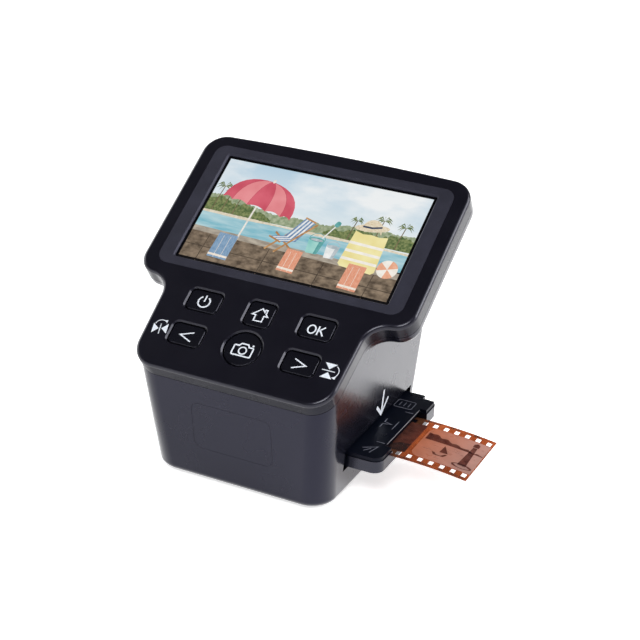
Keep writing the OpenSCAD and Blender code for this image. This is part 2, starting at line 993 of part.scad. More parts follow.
// Deck below the tray, with a rail along each side
module lower_gate() {
    outer = rail_y + rail_t;
    color("#26262b")
        home()
            translate([0, tray_y, 0])
                difference() {
                    box([-gate_len / 2, gate_len / 2], [-outer, outer], [box_top, upper_z]);
                    box([-gate_len, gate_len], [-rail_y, rail_y], [deck_top, upper_z + cut]);
                    box([-gate_l / 2, gate_l / 2], [-gate_w / 2, gate_w / 2], [box_top - cut, upper_z]);
                    box([-detent_l / 2, detent_l / 2], [-outer - cut, -rail_y + cut],
                        [detent_z - apart, detent_z + detent_h + apart]);
                }
}

// Plate over the tray, with a mask down to the lid and posts for the main board
module upper_gate() {
    outer = rail_y + rail_t;
    color("#26262b")
        home()
            difference() {
                union() {
                    box([-gate_len / 2, gate_len / 2], [tray_y - outer, tray_y + outer],
                        [upper_z, upper_top]);
                    box([-gate_l / 2 - mask_w, gate_l / 2 + mask_w],
                        [tray_y - gate_w / 2 - mask_w, tray_y + gate_w / 2 + mask_w],
                        [lid_top + apart, upper_z + fit]);
                    for (x = [-board_post_x, board_post_x],
                         y = [board_front + board_gap, tray_y + outer - board_post_r])
                        post(x, y, upper_top - fit, board_z, board_post_r);
                }
                box([-gate_l / 2, gate_l / 2],
                    [tray_y - gate_w / 2, tray_y + gate_w / 2], [lid_top, upper_top + cut]);
            }
}

// Leaf with a nose that reaches through the rail towards the tray
module detent_spring() {
    y = -rail_y - rail_t;
    nose = -rail_y;
    bend = detent_l / 2 - nose_w;
    color("#b9bcc0")
        home()
            translate([0, tray_y, detent_z])
                linear_extrude(detent_h)
                    polygon([
                        [-detent_l, y], [-bend, y], [-nose_w, nose], [nose_w, nose],
                        [bend, y], [detent_l, y], [detent_l, y - leaf_t],
                        [bend - leaf_t, y - leaf_t], [nose_w - leaf_t, nose - 2 * leaf_t],
                        [leaf_t - nose_w, nose - 2 * leaf_t], [leaf_t - bend, y - leaf_t],
                        [-detent_l, y - leaf_t]]);
}

module lens_bracket() {
    half = tower_s / 2;
    inner = half - tower_wall;
    color("#2b2b30")
        home()
            translate([0, tray_y, 0])
                difference() {
                    union() {
                        box([-half, half], [-half, half], [upper_top, tower_top]);
                        box([-half - tower_foot, half + tower_foot], [-half, half],
                            [upper_top, upper_top + tower_wall]);
                    }
                    box([-inner, inner], [-inner, inner], [upper_top - cut, web_z]);
                    box([-inner, inner], [-inner, inner], [web_z + web_t, tower_top - tower_wall]);
                    box([-port_s / 2, port_s / 2], [-port_s / 2, port_s / 2],
                        [tower_top - tower_wall - cut, tower_top + cut]);
                    post(0, 0, web_z - cut, web_z + web_t + cut, barrel_r + fit / 2);
                }
}

module lens_barrel() {
    color("#1b1b1e")
        home()
            translate([0, tray_y, 0])
                difference() {
                    union() {
                        post(0, 0, barrel_z, barrel_z + barrel_h, barrel_r);
                        post(0, 0, web_z + web_t, web_z + web_t + collar, barrel_r + collar);
                    }
                    post(0, 0, barrel_z - cut, barrel_z + lens_t, lens_r + fit / 2);
                    post(0, 0, barrel_z + barrel_h - lens_t, barrel_z + barrel_h + cut, lens_r + fit / 2);
                    post(0, 0, barrel_z, barrel_z + barrel_h, lens_r - lens_step);
                }
}

// A flat-backed lens, bulging towards -Z, with its flat face at z = 0
module lens() {
    rotate_extrude($fn = 96)
        intersection() {
            translate([0, -lens_t])
                square([lens_r, lens_t]);
            translate([0, lens_bulge - lens_t])
                circle(lens_bulge, $fn = 720);
        }
}

module lens_elements() {
    color("#cfe3ee")
        home()
            translate([0, tray_y, 0]) {
                translate([0, 0, barrel_z + lens_t])
                    lens();
                translate([0, 0, barrel_z + barrel_h - lens_t])
                    mirror([0, 0, 1])
                        lens();
            }
}

module sensor_board() {
    half = sensor_board_s / 2;
    color("#1f5b3a")
        home()
            translate([0, tray_y, 0])
                box([-half, half], [-half, half], [tower_top, tower_top + sensor_board_t]);
}

module image_sensor() {
    half = sensor_s / 2;
    color("#4a3f63")
        home()
            translate([0, tray_y, 0])
                box([-half, half], [-half, half], [tower_top - sensor_t, tower_top]);
}

module main_board() {
    color("#1f5b3a")
        home()
            box([-board_w / 2, board_w / 2], [board_front, board_back], [board_z, board_top]);
}

module board_chips() {
    color("#15151a")
        home()
            translate([0, board_front, board_top]) {
                translate([chip_x, chip_rows[0], 0])
                    cube(processor);
                translate([chip_x + processor.x + chip_gap, chip_rows[1], 0])
                    cube(memory);
                translate([chip_edge - board_w / 2, chip_rows[2], 0])
                    cube(regulator);
            }
}

// A metal socket shell, its mouth at the rear wall
module socket(x, size) {
    back = back_y(board_top) - socket_out;
    difference() {
        box([x - size.x / 2, x + size.x / 2], [back - size.y, back], [board_top, board_top + size.z]);
        box([x - size.x / 2 + shell_t, x + size.x / 2 - shell_t],
            [back - size.y + shell_back, back + cut], [board_top + shell_t, board_top + size.z - shell_t]);
    }
}

module usb_c_socket() {
    color("#b4b6ba")
        home()
            socket(usb_x, usb);
}

module mini_hdmi_socket() {
    color("#b4b6ba")
        home()
            socket(hdmi_x, hdmi);
}

module sd_card_socket() {
    color("#b4b6ba")
        home()
            socket(sd_x, sd);
}

// A flat ribbon along points [y, z]
module ribbon(x, w, path) {
    n = len(path);
    translate([x - w / 2, 0, 0])
        rotate([90, 0, 90])
            linear_extrude(w)
                polygon(concat(path, [for (i = [n - 1:-1:0]) path[i] + [ribbon_t, 0]]));
}

module display_ribbon() {
    top = [ribbon_up * cos_t + frame_d * sin_t, screen_z + ribbon_up * sin_t - frame_d * cos_t];
    foot = [board_front + ribbon_in, board_top];
    color("#d8a04a")
        home()
            ribbon(display_ribbon_x, ribbon_w,
                [foot, foot + [0, display_ribbon_rise],
                 [foot.x + display_ribbon_bow, tower_top - ribbon_turn], top]);
}

module sensor_ribbon() {
    top = [tray_y + sensor_board_s / 2, tower_top + sensor_board_t];
    foot = [board_front + ribbon_in, board_top];
    color("#d8a04a")
        home()
            ribbon(sensor_ribbon_x, sensor_ribbon_w,
                [foot, foot + [0, sensor_ribbon_rise],
                 [top.x + sensor_ribbon_bow, tower_top - ribbon_turn], [top.x, tower_top], top]);
}

module tray_base() {
    half = tray_w / 2;
    color("#1b1b20")
        home()
            difference() {
                union() {
                    translate([0, tray_y, tray_z])
                        linear_extrude(tray_t)
                            tray_plan(0);
                    box([tray_in + rim_in, tray_out - rim_in],
                        [tray_y + half - rim_t, tray_y + half], [lid_z - fit, lid_top]);
                }
                box([tray_in - cut, tray_out + cut],
                    [tray_y - channel_w / 2, tray_y + channel_w / 2], [floor_z, lid_z + cut]);
                box([-gate_l / 2, gate_l / 2],
                    [tray_y - gate_w / 2, tray_y + gate_w / 2], [tray_z - cut, lid_z]);
                for (x = hinge_xs)
                    box([x - fit, x + knuckle_len + fit],
                        [tray_y + half - rim_t - cut, tray_y + half + cut], [lid_z, lid_top + cut]);
                hinge_bores(pin_grip + fit);
            }
}

// Bores for the hinge pins, which reach past each knuckle
module hinge_bores(past) {
    for (x = hinge_xs)
        translate([x - past, tray_y + tray_w / 2 - rim_t / 2, lid_z + lid_t / 2])
            rotate([0, 90, 0])
                cylinder(h = knuckle_len + 2 * past, r = hinge_r + pin_fit);
}

// Plan of the tray, rounded at its outer end
module tray_plan(inset) {
    half = tray_w / 2 - inset;
    translate([tray_in + inset, -half])
        square([tray_len - tray_r - inset, 2 * half]);
    translate([tray_out - tray_r - cut, -half + tray_r - inset])
        square([tray_r - inset + cut, 2 * (half - tray_r + inset)]);
    for (y = [-1, 1])
        translate([tray_out - tray_r, y * (half - tray_r + inset)])
            circle(tray_r - inset);
}

module tray_lid() {
    color("#1d1d23")
        home()
            difference() {
                union() {
                    translate([0, tray_y, lid_z])
                        linear_extrude(lid_t)
                            intersection() {
                                tray_plan(lid_in);
                                translate([tray_in, -tray_w / 2])
                                    square([tray_len, tray_w - rim_t - lid_in]);
                            }
                    box([tray_in + land_in[0], tray_out - notch_d - land_in[1]],
                        [tray_y - film_w / 2, tray_y + film_w / 2], [floor_z + land_gap, lid_z + fit]);
                    for (x = hinge_xs)
                        box([x, x + knuckle_len],
                            [tray_y + tray_w / 2 - rim_t - knuckle_root, tray_y + tray_w / 2 - fit],
                            [lid_z, lid_top]);
                }
                hinge_bores(fit);
                box([-gate_l / 2, gate_l / 2],
                    [tray_y - gate_w / 2, tray_y + gate_w / 2], [floor_z, lid_top + cut]);
                box([tray_out - notch_d, tray_out + cut],
                    [tray_y - notch_w / 2, tray_y + notch_w / 2], [floor_z, lid_top + cut]);
            }
}

module tray_hinge_pins() {
    color("#a6a8ac")
        home()
            for (x = hinge_xs)
                translate([x - pin_grip, tray_y + tray_w / 2 - rim_t / 2, lid_z + lid_t / 2])
                    rotate([0, 90, 0])
                        cylinder(h = knuckle_len + 2 * pin_grip, r = hinge_r);
}

module film_strip() {
    free = film_out - film_flat;
    color("#b4562a", 0.8)
        home()
            difference() {
                union() {
                    box([film_out - film_len, film_flat],
                        [tray_y - film_w / 2, tray_y + film_w / 2], [film_z, film_z + film_t]);
                    intersection() {
                        translate([film_flat, tray_y + film_w / 2, film_z - film_curl])
                            rotate([90, 0, 0])
                                difference() {
                                    cylinder(h = film_w, r = film_curl + film_t, $fn = 720);
                                    translate([0, 0, -cut])
                                        cylinder(h = film_w + 2 * cut, r = film_curl, $fn = 720);
                                }
                        box([film_flat, film_out], [tray_y - film_w, tray_y + film_w],
                            [0, tray_z + tray_t]);
                    }
                }
                for (i = [0:perf_n], y = [-1, 1])
                    translate([film_out - (i + perf_start) * perf_pitch,
                               tray_y + y * (film_w / 2 - perf_edge - perf_w / 2), film_z])
                        cube([perf_l, perf_w, perf_cut], center = true);
            }
}

front_cover();
rear_housing();
base_plate();
rubber_feet();
base_screws();
cover_screws();
badge_plate();
screen_bezel();
display_glass();
lcd_panel();
lcd_frame();
power_button();
home_button();
ok_button();
left_button();
right_button();
capture_button();
key_board();
key_switches();
main_board();
board_chips();
usb_c_socket();
mini_hdmi_socket();
sd_card_socket();
light_box();
backlight_board();
backlight_leds();
diffuser_plate();
lower_gate();
upper_gate();
detent_spring();
lens_bracket();
lens_barrel();
lens_elements();
sensor_board();
image_sensor();
display_ribbon();
sensor_ribbon();
tray_base();
tray_lid();
tray_hinge_pins();
film_strip();
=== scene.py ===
"""Dresses a desktop film scanner: a tilted screen on a tapered foot, with a film tray in its side.

Sizes are in millimetres and become metres where a mesh is made. Places on the object are given
across (x), front to back (y) and up (z) from the middle of the housing, or on the slanted panel as
across (u), up the slope (v) and out of it (lift).
"""

from __future__ import annotations

import json
import logging
import math
import random
from collections.abc import Callable, Sequence
from dataclasses import dataclass, field, replace
from enum import Enum

import bmesh
import bpy
from mathutils import Matrix, Vector

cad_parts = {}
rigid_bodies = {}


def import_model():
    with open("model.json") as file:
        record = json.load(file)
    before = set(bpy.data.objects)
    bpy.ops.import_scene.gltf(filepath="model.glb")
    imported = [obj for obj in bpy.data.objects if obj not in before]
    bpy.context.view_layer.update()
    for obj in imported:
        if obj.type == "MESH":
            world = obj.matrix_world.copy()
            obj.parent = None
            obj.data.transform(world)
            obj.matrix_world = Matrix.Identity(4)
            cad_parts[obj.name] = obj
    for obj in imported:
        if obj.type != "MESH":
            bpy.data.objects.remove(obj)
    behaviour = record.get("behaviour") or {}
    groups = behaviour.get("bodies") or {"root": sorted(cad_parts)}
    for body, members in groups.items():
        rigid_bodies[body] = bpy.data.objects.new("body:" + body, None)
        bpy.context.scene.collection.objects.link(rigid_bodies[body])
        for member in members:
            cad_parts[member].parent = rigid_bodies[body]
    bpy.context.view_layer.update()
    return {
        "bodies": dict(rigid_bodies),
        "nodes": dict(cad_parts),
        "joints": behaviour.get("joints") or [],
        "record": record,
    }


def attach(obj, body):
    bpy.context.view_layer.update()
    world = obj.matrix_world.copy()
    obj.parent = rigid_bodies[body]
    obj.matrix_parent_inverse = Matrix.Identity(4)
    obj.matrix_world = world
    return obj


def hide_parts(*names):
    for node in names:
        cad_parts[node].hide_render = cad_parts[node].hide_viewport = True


LOG = logging.getLogger("film_scanner")
MM = 0.001
Colour = tuple[int, int, int]
Flat = tuple[float, float]
Triple = tuple[float, float, float]
Place = Callable[[float, float, float], Vector]
Material = bpy.types.Material
Socket = bpy.types.NodeSocket


class Body(Enum):
    """The bodies that a piece can ride on."""

    HOUSING = "housing"
    POWER = "power_key"
    HOME = "home_key"
    OK = "ok_key"
    LEFT = "left_key"
    RIGHT = "right_key"
    CAPTURE = "capture_key"
    TRAY = "tray"
    FILM = "film"


def linear(colour: Colour) -> tuple[float, float, float, float]:
    """Turns a screen colour into the linear one that a shader takes.

    Args:
        colour: Red, green and blue, each 0 to 255.

    Returns:
        The linear colour, with 1 as its fourth value.
    """
    shares = [part / 255 for part in colour]
    parts = [s / 12.92 if s <= 0.04045 else ((s + 0.055) / 1.055) ** 2.4 for s in shares]
    return (*parts, 1.0)


def shade(colour: Colour, factor: float) -> Colour:
    """Returns the colour made lighter or darker by a factor."""
    return tuple(max(0, min(255, round(part * factor))) for part in colour)


def stand(name: str, data: bpy.types.ID) -> bpy.types.Object:
    """Puts a mesh, lamp or camera into the scene.

    Args:
        name: Name of the object.
        data: What it shows.

    Returns:
        The new object.
    """
    thing = bpy.data.objects.new(name, data)
    bpy.context.scene.collection.objects.link(thing)
    return thing


def cast(name: str, mesh: bmesh.types.BMesh, finishes: Sequence[Material]) -> bpy.types.Object:
    """Puts a finished shape into the scene.

    Args:
        name: Name of the object.
        mesh: Its shape, which is used up.
        finishes: Its materials, in the order of the finish numbers.

    Returns:
        The new object.
    """
    data = bpy.data.meshes.new(name)
    mesh.to_mesh(data)
    mesh.free()
    for finish in finishes:
        data.materials.append(finish)
    return stand(name, data)


# ---------------------------------------------------------------- places on the object


@dataclass(frozen=True)
class Layout:
    """Where the frame's main surfaces lie."""

    mid_x: float = 12.75
    mid_y: float = -14.0307
    tilt: float = math.radians(33)
    screen_z: float = 96.3
    wall_x: float = 39.6
    draft: float = math.tan(math.radians(4.35))
    tray_y: float = -8.4
    lid_top: float = 21.2
    film_top: float = 17.25
    film_bend_x: float = 55.3
    film_curl: float = 220.15

    def body(self, x: float, y: float, z: float) -> Vector:
        """Returns a point given from the middle of the housing, in metres."""
        return Vector(((x - self.mid_x) * MM, (y - self.mid_y) * MM, z * MM))

    def panel(self, u: float, v: float, lift: float) -> Vector:
        """Places a point on the slanted panel.

        Args:
            u: Distance across.
            v: Distance up the slope from the middle of the screen.
            lift: Height over the panel.

        Returns:
            The point in metres.
        """
        y = v * math.cos(self.tilt) - lift * math.sin(self.tilt)
        z = self.screen_z + v * math.sin(self.tilt) + lift * math.cos(self.tilt)
        return self.body(u, y, z)

    def side(self, y: float, z: float, lift: float) -> Vector:
        """Places a point on the right-hand wall, which leans out towards its top.

        Args:
            y: Distance to the back.
            z: Height.
            lift: Distance out of the wall.

        Returns:
            The point in metres.
        """
        long = math.hypot(1, self.draft)
        x = self.wall_x + self.draft * z + lift / long
        return self.body(x, y, z - lift * self.draft / long)

    def lid(self, x: float, y: float, lift: float) -> Vector:
        """Returns a point on top of the tray's lid, y from the tray's middle line."""
        return self.body(x, self.tray_y + y, self.lid_top + lift)

    def film(self, x: float, y: float, lift: float) -> Vector:
        """Places a point on the film's upper side, which bends down where it leaves the tray.

        Args:
            x: Distance along the film.
            y: Distance from its middle line.
            lift: Height over it.

        Returns:
            The point in metres.
        """
        run = max(0.0, x - self.film_bend_x)
        sag = self.film_curl - math.sqrt(self.film_curl**2 - run**2)
        return self.body(x, self.tray_y + y, self.film_top - sag + lift)


LAYOUT = Layout()


# ---------------------------------------------------------------- flat shapes


def arc(centre: Flat, radius: float, start: float, end: float, steps: int = 24) -> list[Flat]:
    """Draws an arc.

    Args:
        centre: Middle of the circle.
        radius: Its radius.
        start: First angle in degrees.
        end: Last angle in degrees.
        steps: Number of stretches between the points.

    Returns:
        The points from start to end, both included.
    """
    turn = [math.radians(start + (end - start) * i / steps) for i in range(steps + 1)]
    return [(centre[0] + radius * math.cos(a), centre[1] + radius * math.sin(a)) for a in turn]


def oval(centre: Flat, across: float, up: float, lean: float = 0.0, steps: int = 32) -> list[Flat]:
    """Draws an oval.

    Args:
        centre: Its middle.
        across: Half its width.
        up: Half its height.
        lean: How far it is turned, in degrees.
        steps: Number of its points.

    Returns:
        Its outline.
    """
    turn = [2 * math.pi * i / steps for i in range(steps)]
    points = [(centre[0] + across * math.cos(a), centre[1] + up * math.sin(a)) for a in turn]
    return turned(points, centre, lean)


def rounded(centre: Flat, wide: float, high: float, radius: float, steps: int = 6) -> list[Flat]:
    """Draws a rectangle with rounded corners.

    Args:
        centre: Its middle.
        wide: Its width.
        high: Its height.
        radius: Radius of its corners.
        steps: Number of stretches in each corner.

    Returns:
        Its outline.
    """
    points: list[Flat] = []
    for i, (sx, sy) in enumerate(((1, 1), (-1, 1), (-1, -1), (1, -1))):
        corner = (centre[0] + sx * (wide / 2 - radius), centre[1] + sy * (high / 2 - radius))
        points += arc(corner, radius, 90 * i, 90 * i + 90, steps)
    return points


def moved(points: Sequence[Flat], to: Flat) -> list[Flat]:
    """Returns the points moved so that their origin lies at a place."""
    return [(to[0] + x, to[1] + y) for x, y in points]


def turned(points: Sequence[Flat], centre: Flat, degrees: float) -> list[Flat]:
    """Turns points about a centre.

    Args:
        points: The points.
        centre: What they turn about.
        degrees: How far they turn, against the clock.

    Returns:
        The turned points.
    """
    c, s = math.cos(math.radians(degrees)), math.sin(math.radians(degrees))
    gaps = [(x - centre[0], y - centre[1]) for x, y in points]
    return [(centre[0] + dx * c - dy * s, centre[1] + dx * s + dy * c) for dx, dy in gaps]


@dataclass
class Sketch:
    """Flat shapes and strokes on a surface of the object, built as one thin mesh."""

    name: str
    place: Place
    verts: list[Vector] = field(default_factory=list)
    faces: list[tuple[list[int], int]] = field(default_factory=list)
    same_spot: float = 1e-9
    sharpest: float = 0.35
    weld: float = 1e-4

    def fill(self, outline: Sequence[Flat], lift: float = 0.0, finish: int = 0) -> None:
        """Adds a filled outline.

        Args:
            outline: Its corners in order.
            lift: Height over the surface.
            finish: Which of the mesh's finishes it takes.
        """
        first = len(self.verts)
        self.verts += [self.place(x, y, lift) for x, y in outline]
        self.faces.append((list(range(first, len(self.verts))), finish))

    def grid(self, low: Flat, high: Flat, steps: tuple[int, int], lift: float) -> None:
        """Adds a rectangle cut into cells, which follows a bent surface.

        Args:
            low: Its lowest corner.
            high: Its highest corner.
            steps: Number of cells each way.
            lift: Height over the surface.
        """
        first = len(self.verts)
        nx, ny = steps
        for j in range(ny + 1):
            for i in range(nx + 1):
                x = low[0] + (high[0] - low[0]) * i / nx
                y = low[1] + (high[1] - low[1]) * j / ny
                self.verts.append(self.place(x, y, lift))
        for j in range(ny):
            for i in range(nx):
                a = first + j * (nx + 1) + i
                self.faces.append(([a, a + 1, a + nx + 2, a + nx + 1], 0))

    def stroke(
        self,
        points: Sequence[Flat],
        width: float,
        lift: float = 0.0,
        finish: int = 0,
        closed: bool = False,
    ) -> None:
        """Adds a line of even width with mitred corners.

        Args:
            points: The points that it follows.
            width: Its width.
            lift: Height over the surface.
            finish: Which of the mesh's finishes it takes.
            closed: Whether the last point joins the first.
        """
        count = len(points)
        left: list[Flat] = []
        right: list[Flat] = []
        for i, (x, y) in enumerate(points):
            before = points[i - 1] if i or closed else points[i]
            after = points[(i + 1) % count] if i < count - 1 or closed else points[i]
            across, up = self._mitre(before, (x, y), after)
            left.append((x + across * width / 2, y + up * width / 2))
            right.append((x - across * width / 2, y - up * width / 2))
        first = len(self.verts)
        self.verts += [self.place(x, y, lift) for x, y in left + right]
        for i in range(count if closed else count - 1):
            j = (i + 1) % count
            corners = [first + i, first + count + i, first + count + j, first + j]
            self.faces.append((corners, finish))

    def _mitre(self, before: Flat, here: Flat, after: Flat) -> Flat:
        """Works out in which direction a line is widened at a corner.

        Args:
            before: The point before the corner.
            here: The corner.
            after: The point after it.

        Returns:
            The direction, longer where the corner is sharp.
        """
        ways = []
        for a, b in ((before, here), (here, after)):
            long = math.hypot(b[0] - a[0], b[1] - a[1])
            if long > self.same_spot:
                ways.append(((a[1] - b[1]) / long, (b[0] - a[0]) / long))
        if len(ways) == 1:
            return ways[0]
        x, y = ways[0][0] + ways[1][0], ways[0][1] + ways[1][1]
        square = max(x * x + y * y, self.sharpest)
        return (2 * x / square, 2 * y / square)

    def build(
        self,
        body: Body,
        finishes: Sequence[Material],
        thick: float = 0.0,
        slot: str = "",
        round_over: float = 0.0,
    ) -> None:
        """Makes the mesh and hangs it on its body.

        Args:
            body: What it rides on.
            finishes: Its materials, in the order of the finish numbers.
            thick: How far the shapes stand out of the surface.
            slot: Not used.
            round_over: Width of the rounding on its upper edges.
        """
        mesh = bmesh.new()
        verts = [mesh.verts.new(v) for v in self.verts]
        for corners, finish in self.faces:
            face = mesh.faces.new([verts[i] for i in corners])
            face.material_index = finish
        bmesh.ops.remove_doubles(mesh, verts=mesh.verts, dist=self.weld * MM)
        outward = self.place(0, 0, 1) - self.place(0, 0, 0)
        for face in mesh.faces:
            face.normal_update()
            if face.normal.dot(outward) < 0:
                face.normal_flip()
        if thick:
            bmesh.ops.solidify(mesh, geom=mesh.faces[:], thickness=-thick * MM)
        piece = cast(self.name, mesh, finishes)
        if round_over:
            edge = piece.modifiers.new("eased_edge", "BEVEL")
            edge.width = round_over * MM
            edge.segments = 2
            edge.limit_method = "ANGLE"
        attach(piece, body.value)
        LOG.info("%s rides on %s", self.name, body.value)


# ---------------------------------------------------------------- finishes


MIX_SHARE, MIX_LOW, MIX_HIGH, MIX_OUT = 0, 6, 7, 2
"""Places of a colour mix's sockets, which share their names with those of other kinds."""


class Bench:
    """Lays out the nodes of one material."""

    def __init__(self, name: str) -> None:
        """Starts a material whose patterns are measured on the object itself.

        Args:
            name: Name of the material.
        """
        self.material = bpy.data.materials.new(name)
        self.material.use_nodes = True
        self.tree = self.material.node_tree
        self.shader = self.tree.nodes["Principled BSDF"]
        self.spot = self.add("TexCoord", {}).outputs["Object"]

    def add(self, kind: str, sockets: dict[str | int, object]) -> bpy.types.Node:
        """Adds a node.

        Args:
            kind: Its kind, without the prefix that all of them have.
            sockets: Its inputs, each a plain value or another node's output.

        Returns:
            The new node.
        """
        node = self.tree.nodes.new("ShaderNode" + kind)
        self.feed(node, sockets)
        return node

    def feed(self, node: bpy.types.Node, sockets: dict[str | int, object]) -> None:
        """Sets or joins a node's inputs.

        Args:
            node: The node.
            sockets: Its inputs, each a plain value or another node's output.
        """
        for name, given in sockets.items():
            if isinstance(given, Socket):
                self.tree.links.new(given, node.inputs[name])
            else:
                node.inputs[name].default_value = given

    def put(self, sockets: dict[str | int, object]) -> None:
        """Sets or joins the shader's own sockets."""
        self.feed(self.shader, sockets)

    def stretched(self, scale: Triple) -> Socket:
        """Returns the coordinates stretched along each axis."""
        node = self.add("Mapping", {"Scale": scale, "Vector": self.spot})
        return node.outputs["Vector"]

    def noise(self, size: float, detail: float = 2.0, spot: Socket | None = None) -> Socket:
        """Lays out a cloudy pattern.

        Args:
            size: Size of its spots in millimetres.
            detail: How many finer layers it has.
            spot: Coordinates to use in place of the plain ones.

        Returns:
            The pattern's value, about 0.3 to 0.7.
        """
        sockets = {"Scale": 1 / (size * MM), "Detail": detail, "Vector": spot or self.spot}
        return self.add("TexNoise", sockets).outputs["Fac"]

    def axis(self, name: str) -> Socket:
        """Returns how far along the X, Y or Z axis a point lies, in metres."""
        return self.add("SeparateXYZ", {"Vector": self.spot}).outputs[name]

    def span(
        self, source: Socket, low: float, high: float, start: float = 0.3, end: float = 0.7
    ) -> Socket:
        """Spreads a pattern's value.

        Args:
            source: The pattern.
            low: What its start becomes.
            high: What its end becomes.
            start: Where it starts.
            end: Where it ends.

        Returns:
            The new value.
        """
        ends = {"From Min": start, "From Max": end, "To Min": low, "To Max": high}
        return self.add("MapRange", {**ends, "Value": source}).outputs["Result"]

    def around(self, source: Socket, middle: float, stray: float) -> Socket:
        """Returns a value that strays from its middle by a share of it, as the pattern does."""
        return self.span(source, middle * (1 - stray), middle * (1 + stray))

    def colours(self, source: Socket, stops: Sequence[tuple[float, Colour]]) -> Socket:
        """Colours a pattern.

        Args:
            source: The pattern.
            stops: Where each colour lies in it.

        Returns:
            The colour.
        """
        node = self.add("ValToRGB", {"Fac": source})
        ramp = node.color_ramp
        for element, (place, colour) in zip(ramp.elements, (stops[0], stops[-1])):
            element.position, element.color = place, linear(colour)
        for place, colour in stops[1:-1]:
            ramp.elements.new(place).color = linear(colour)
        return node.outputs["Color"]

    def mottled(
        self, source: Socket, colour: Colour, dark: float, light: float, reach: Flat = (0.3, 0.7)
    ) -> Socket:
        """Makes one colour darker and lighter by a pattern.

        Args:
            source: The pattern.
            colour: The colour.
            dark: Its factor where it is darkest.
            light: Its factor where it is lightest.
            reach: Where in the pattern the two lie.

        Returns:
            The mottled colour.
        """
        stops = ((reach[0], shade(colour, dark)), (reach[1], shade(colour, light)))
        return self.colours(source, stops)

    def mix(self, share: Socket, low: Socket, high: Socket) -> Socket:
        """Mixes two colours by a pattern.

        Args:
            share: The pattern.
            low: The colour where it is 0.
            high: The colour where it is 1.

        Returns:
            The mixed colour.
        """
        node = self.add("Mix", {})
        node.data_type = "RGBA"
        self.feed(node, {MIX_SHARE: share, MIX_LOW: low, MIX_HIGH: high})
        return node.outputs[MIX_OUT]

    def sum(self, operation: str, first: Socket, second: Socket | float) -> Socket:
        """Works one value out of two.

        Args:
            operation: What is done with them.
            first: The first value.
            second: The second value.

        Returns:
            The outcome.
        """
        node = self.add("Math", {0: first, 1: second})
        node.operation = operation
        return node.outputs["Value"]

    def relief(self, source: Socket, depth: float, ease: float = 0.0) -> None:
        """Turns a pattern into surface relief.

        Args:
            source: The pattern.
            depth: How deep it is, in millimetres.
            ease: Radius that sharp edges look rounded by, in millimetres.
        """
        node = self.add("Bump", {"Strength": 1.0, "Distance": depth * MM, "Height": source})
        if ease:
            edge = self.add("Bevel", {"Radius": ease * MM})
            edge.samples = 4
            self.feed(node, {"Normal": edge.outputs["Normal"]})
        self.put({"Normal": node.outputs["Normal"]})


@dataclass(frozen=True)
class Finish:
    """What every finish has: a name, and nodes laid out on a bench."""

    name: str

    def make(self) -> Material:
        """Makes the material.

        Returns:
            The new material.
        """
        bench = Bench(self.name)
        self.lay(bench)
        return bench.material

    def lay(self, bench: Bench) -> None:
        """Lays out the nodes, each kind of finish in its own way."""
        raise NotImplementedError


@dataclass(frozen=True)
class Moulded(Finish):
    """Moulded plastic or rubber with a fine grain."""

    colour: Colour
    roughness: float
    grain: float = 0.5
    depth: float = 0.004
    mottle: float = 0.08
    specular: float = 0.5
    coat: float = 0.0
    ease: float = 0.25
    coat_bend: float = 1.5
    sheen_tint: Triple = (0.76, 0.76, 1.0)
    coat_roughness: float = 0.12
    coat_fades: Flat | None = None

    def lay(self, bench: Bench) -> None:
        """Lays out the nodes, the coat fading in between two heights where these are given.

        Args:
            bench: The material's bench.
        """
        coat: Socket | float = self.coat
        if self.coat_fades is not None:
            low, high = self.coat_fades
            coat = bench.span(bench.axis("Z"), 0.0, self.coat, low * MM, high * MM)
        darkest, lightest = 1 - self.mottle, 1 + self.mottle
        bench.put({
            "Base Color": bench.mottled(bench.noise(9.0, 4.0), self.colour, darkest, lightest),
            "Roughness": bench.around(bench.noise(14.0, 5.0), self.roughness, 0.1),
            "Specular IOR Level": self.specular,
            "Specular Tint": (*self.sheen_tint, 1.0),
            "Coat Weight": coat,
            "Coat Roughness": self.coat_roughness,
            "Coat IOR": self.coat_bend,
        })
        bench.relief(bench.noise(self.grain, 3.0), self.depth, self.ease)


@dataclass(frozen=True)
class Brushed(Finish):
    """Plain or plated metal with fine drawn lines."""

    colour: Colour
    roughness: float = 0.3
    line: float = 0.96
    drawn: Triple = (0.12, 1.0, 1.0)

    def lay(self, bench: Bench) -> None:
        """Lays out the nodes.

        Args:
            bench: The material's bench.
        """
        lines = bench.noise(self.line, 4.0, bench.stretched(self.drawn))
        bench.put({
            "Base Color": bench.mottled(lines, self.colour, 0.9, 1.06),
            "Roughness": bench.span(lines, self.roughness * 0.8, self.roughness * 1.25),
            "Metallic": 1.0,
        })
        bench.relief(lines, 0.004, 0.12)


@dataclass(frozen=True)
class Board(Finish):
    """A circuit board: solder mask over copper tracks."""

    mask: Colour
    track: Colour
    pitch: float = 2.2
    drawn: Triple = (0.25, 1.0, 1.0)

    def lay(self, bench: Bench) -> None:
        """Lays out the nodes.

        Args:
            bench: The material's bench.
        """
        tracks = bench.noise(self.pitch, 0.0, bench.stretched(self.drawn))
        stops = ((0.44, self.mask), (0.47, self.track), (0.5, self.track), (0.53, self.mask))
        bench.put({
            "Base Color": bench.colours(tracks, stops),
            "Roughness": bench.span(bench.noise(6.0), 0.28, 0.42),
        })
        bench.relief(tracks, 0.03, 0.1)


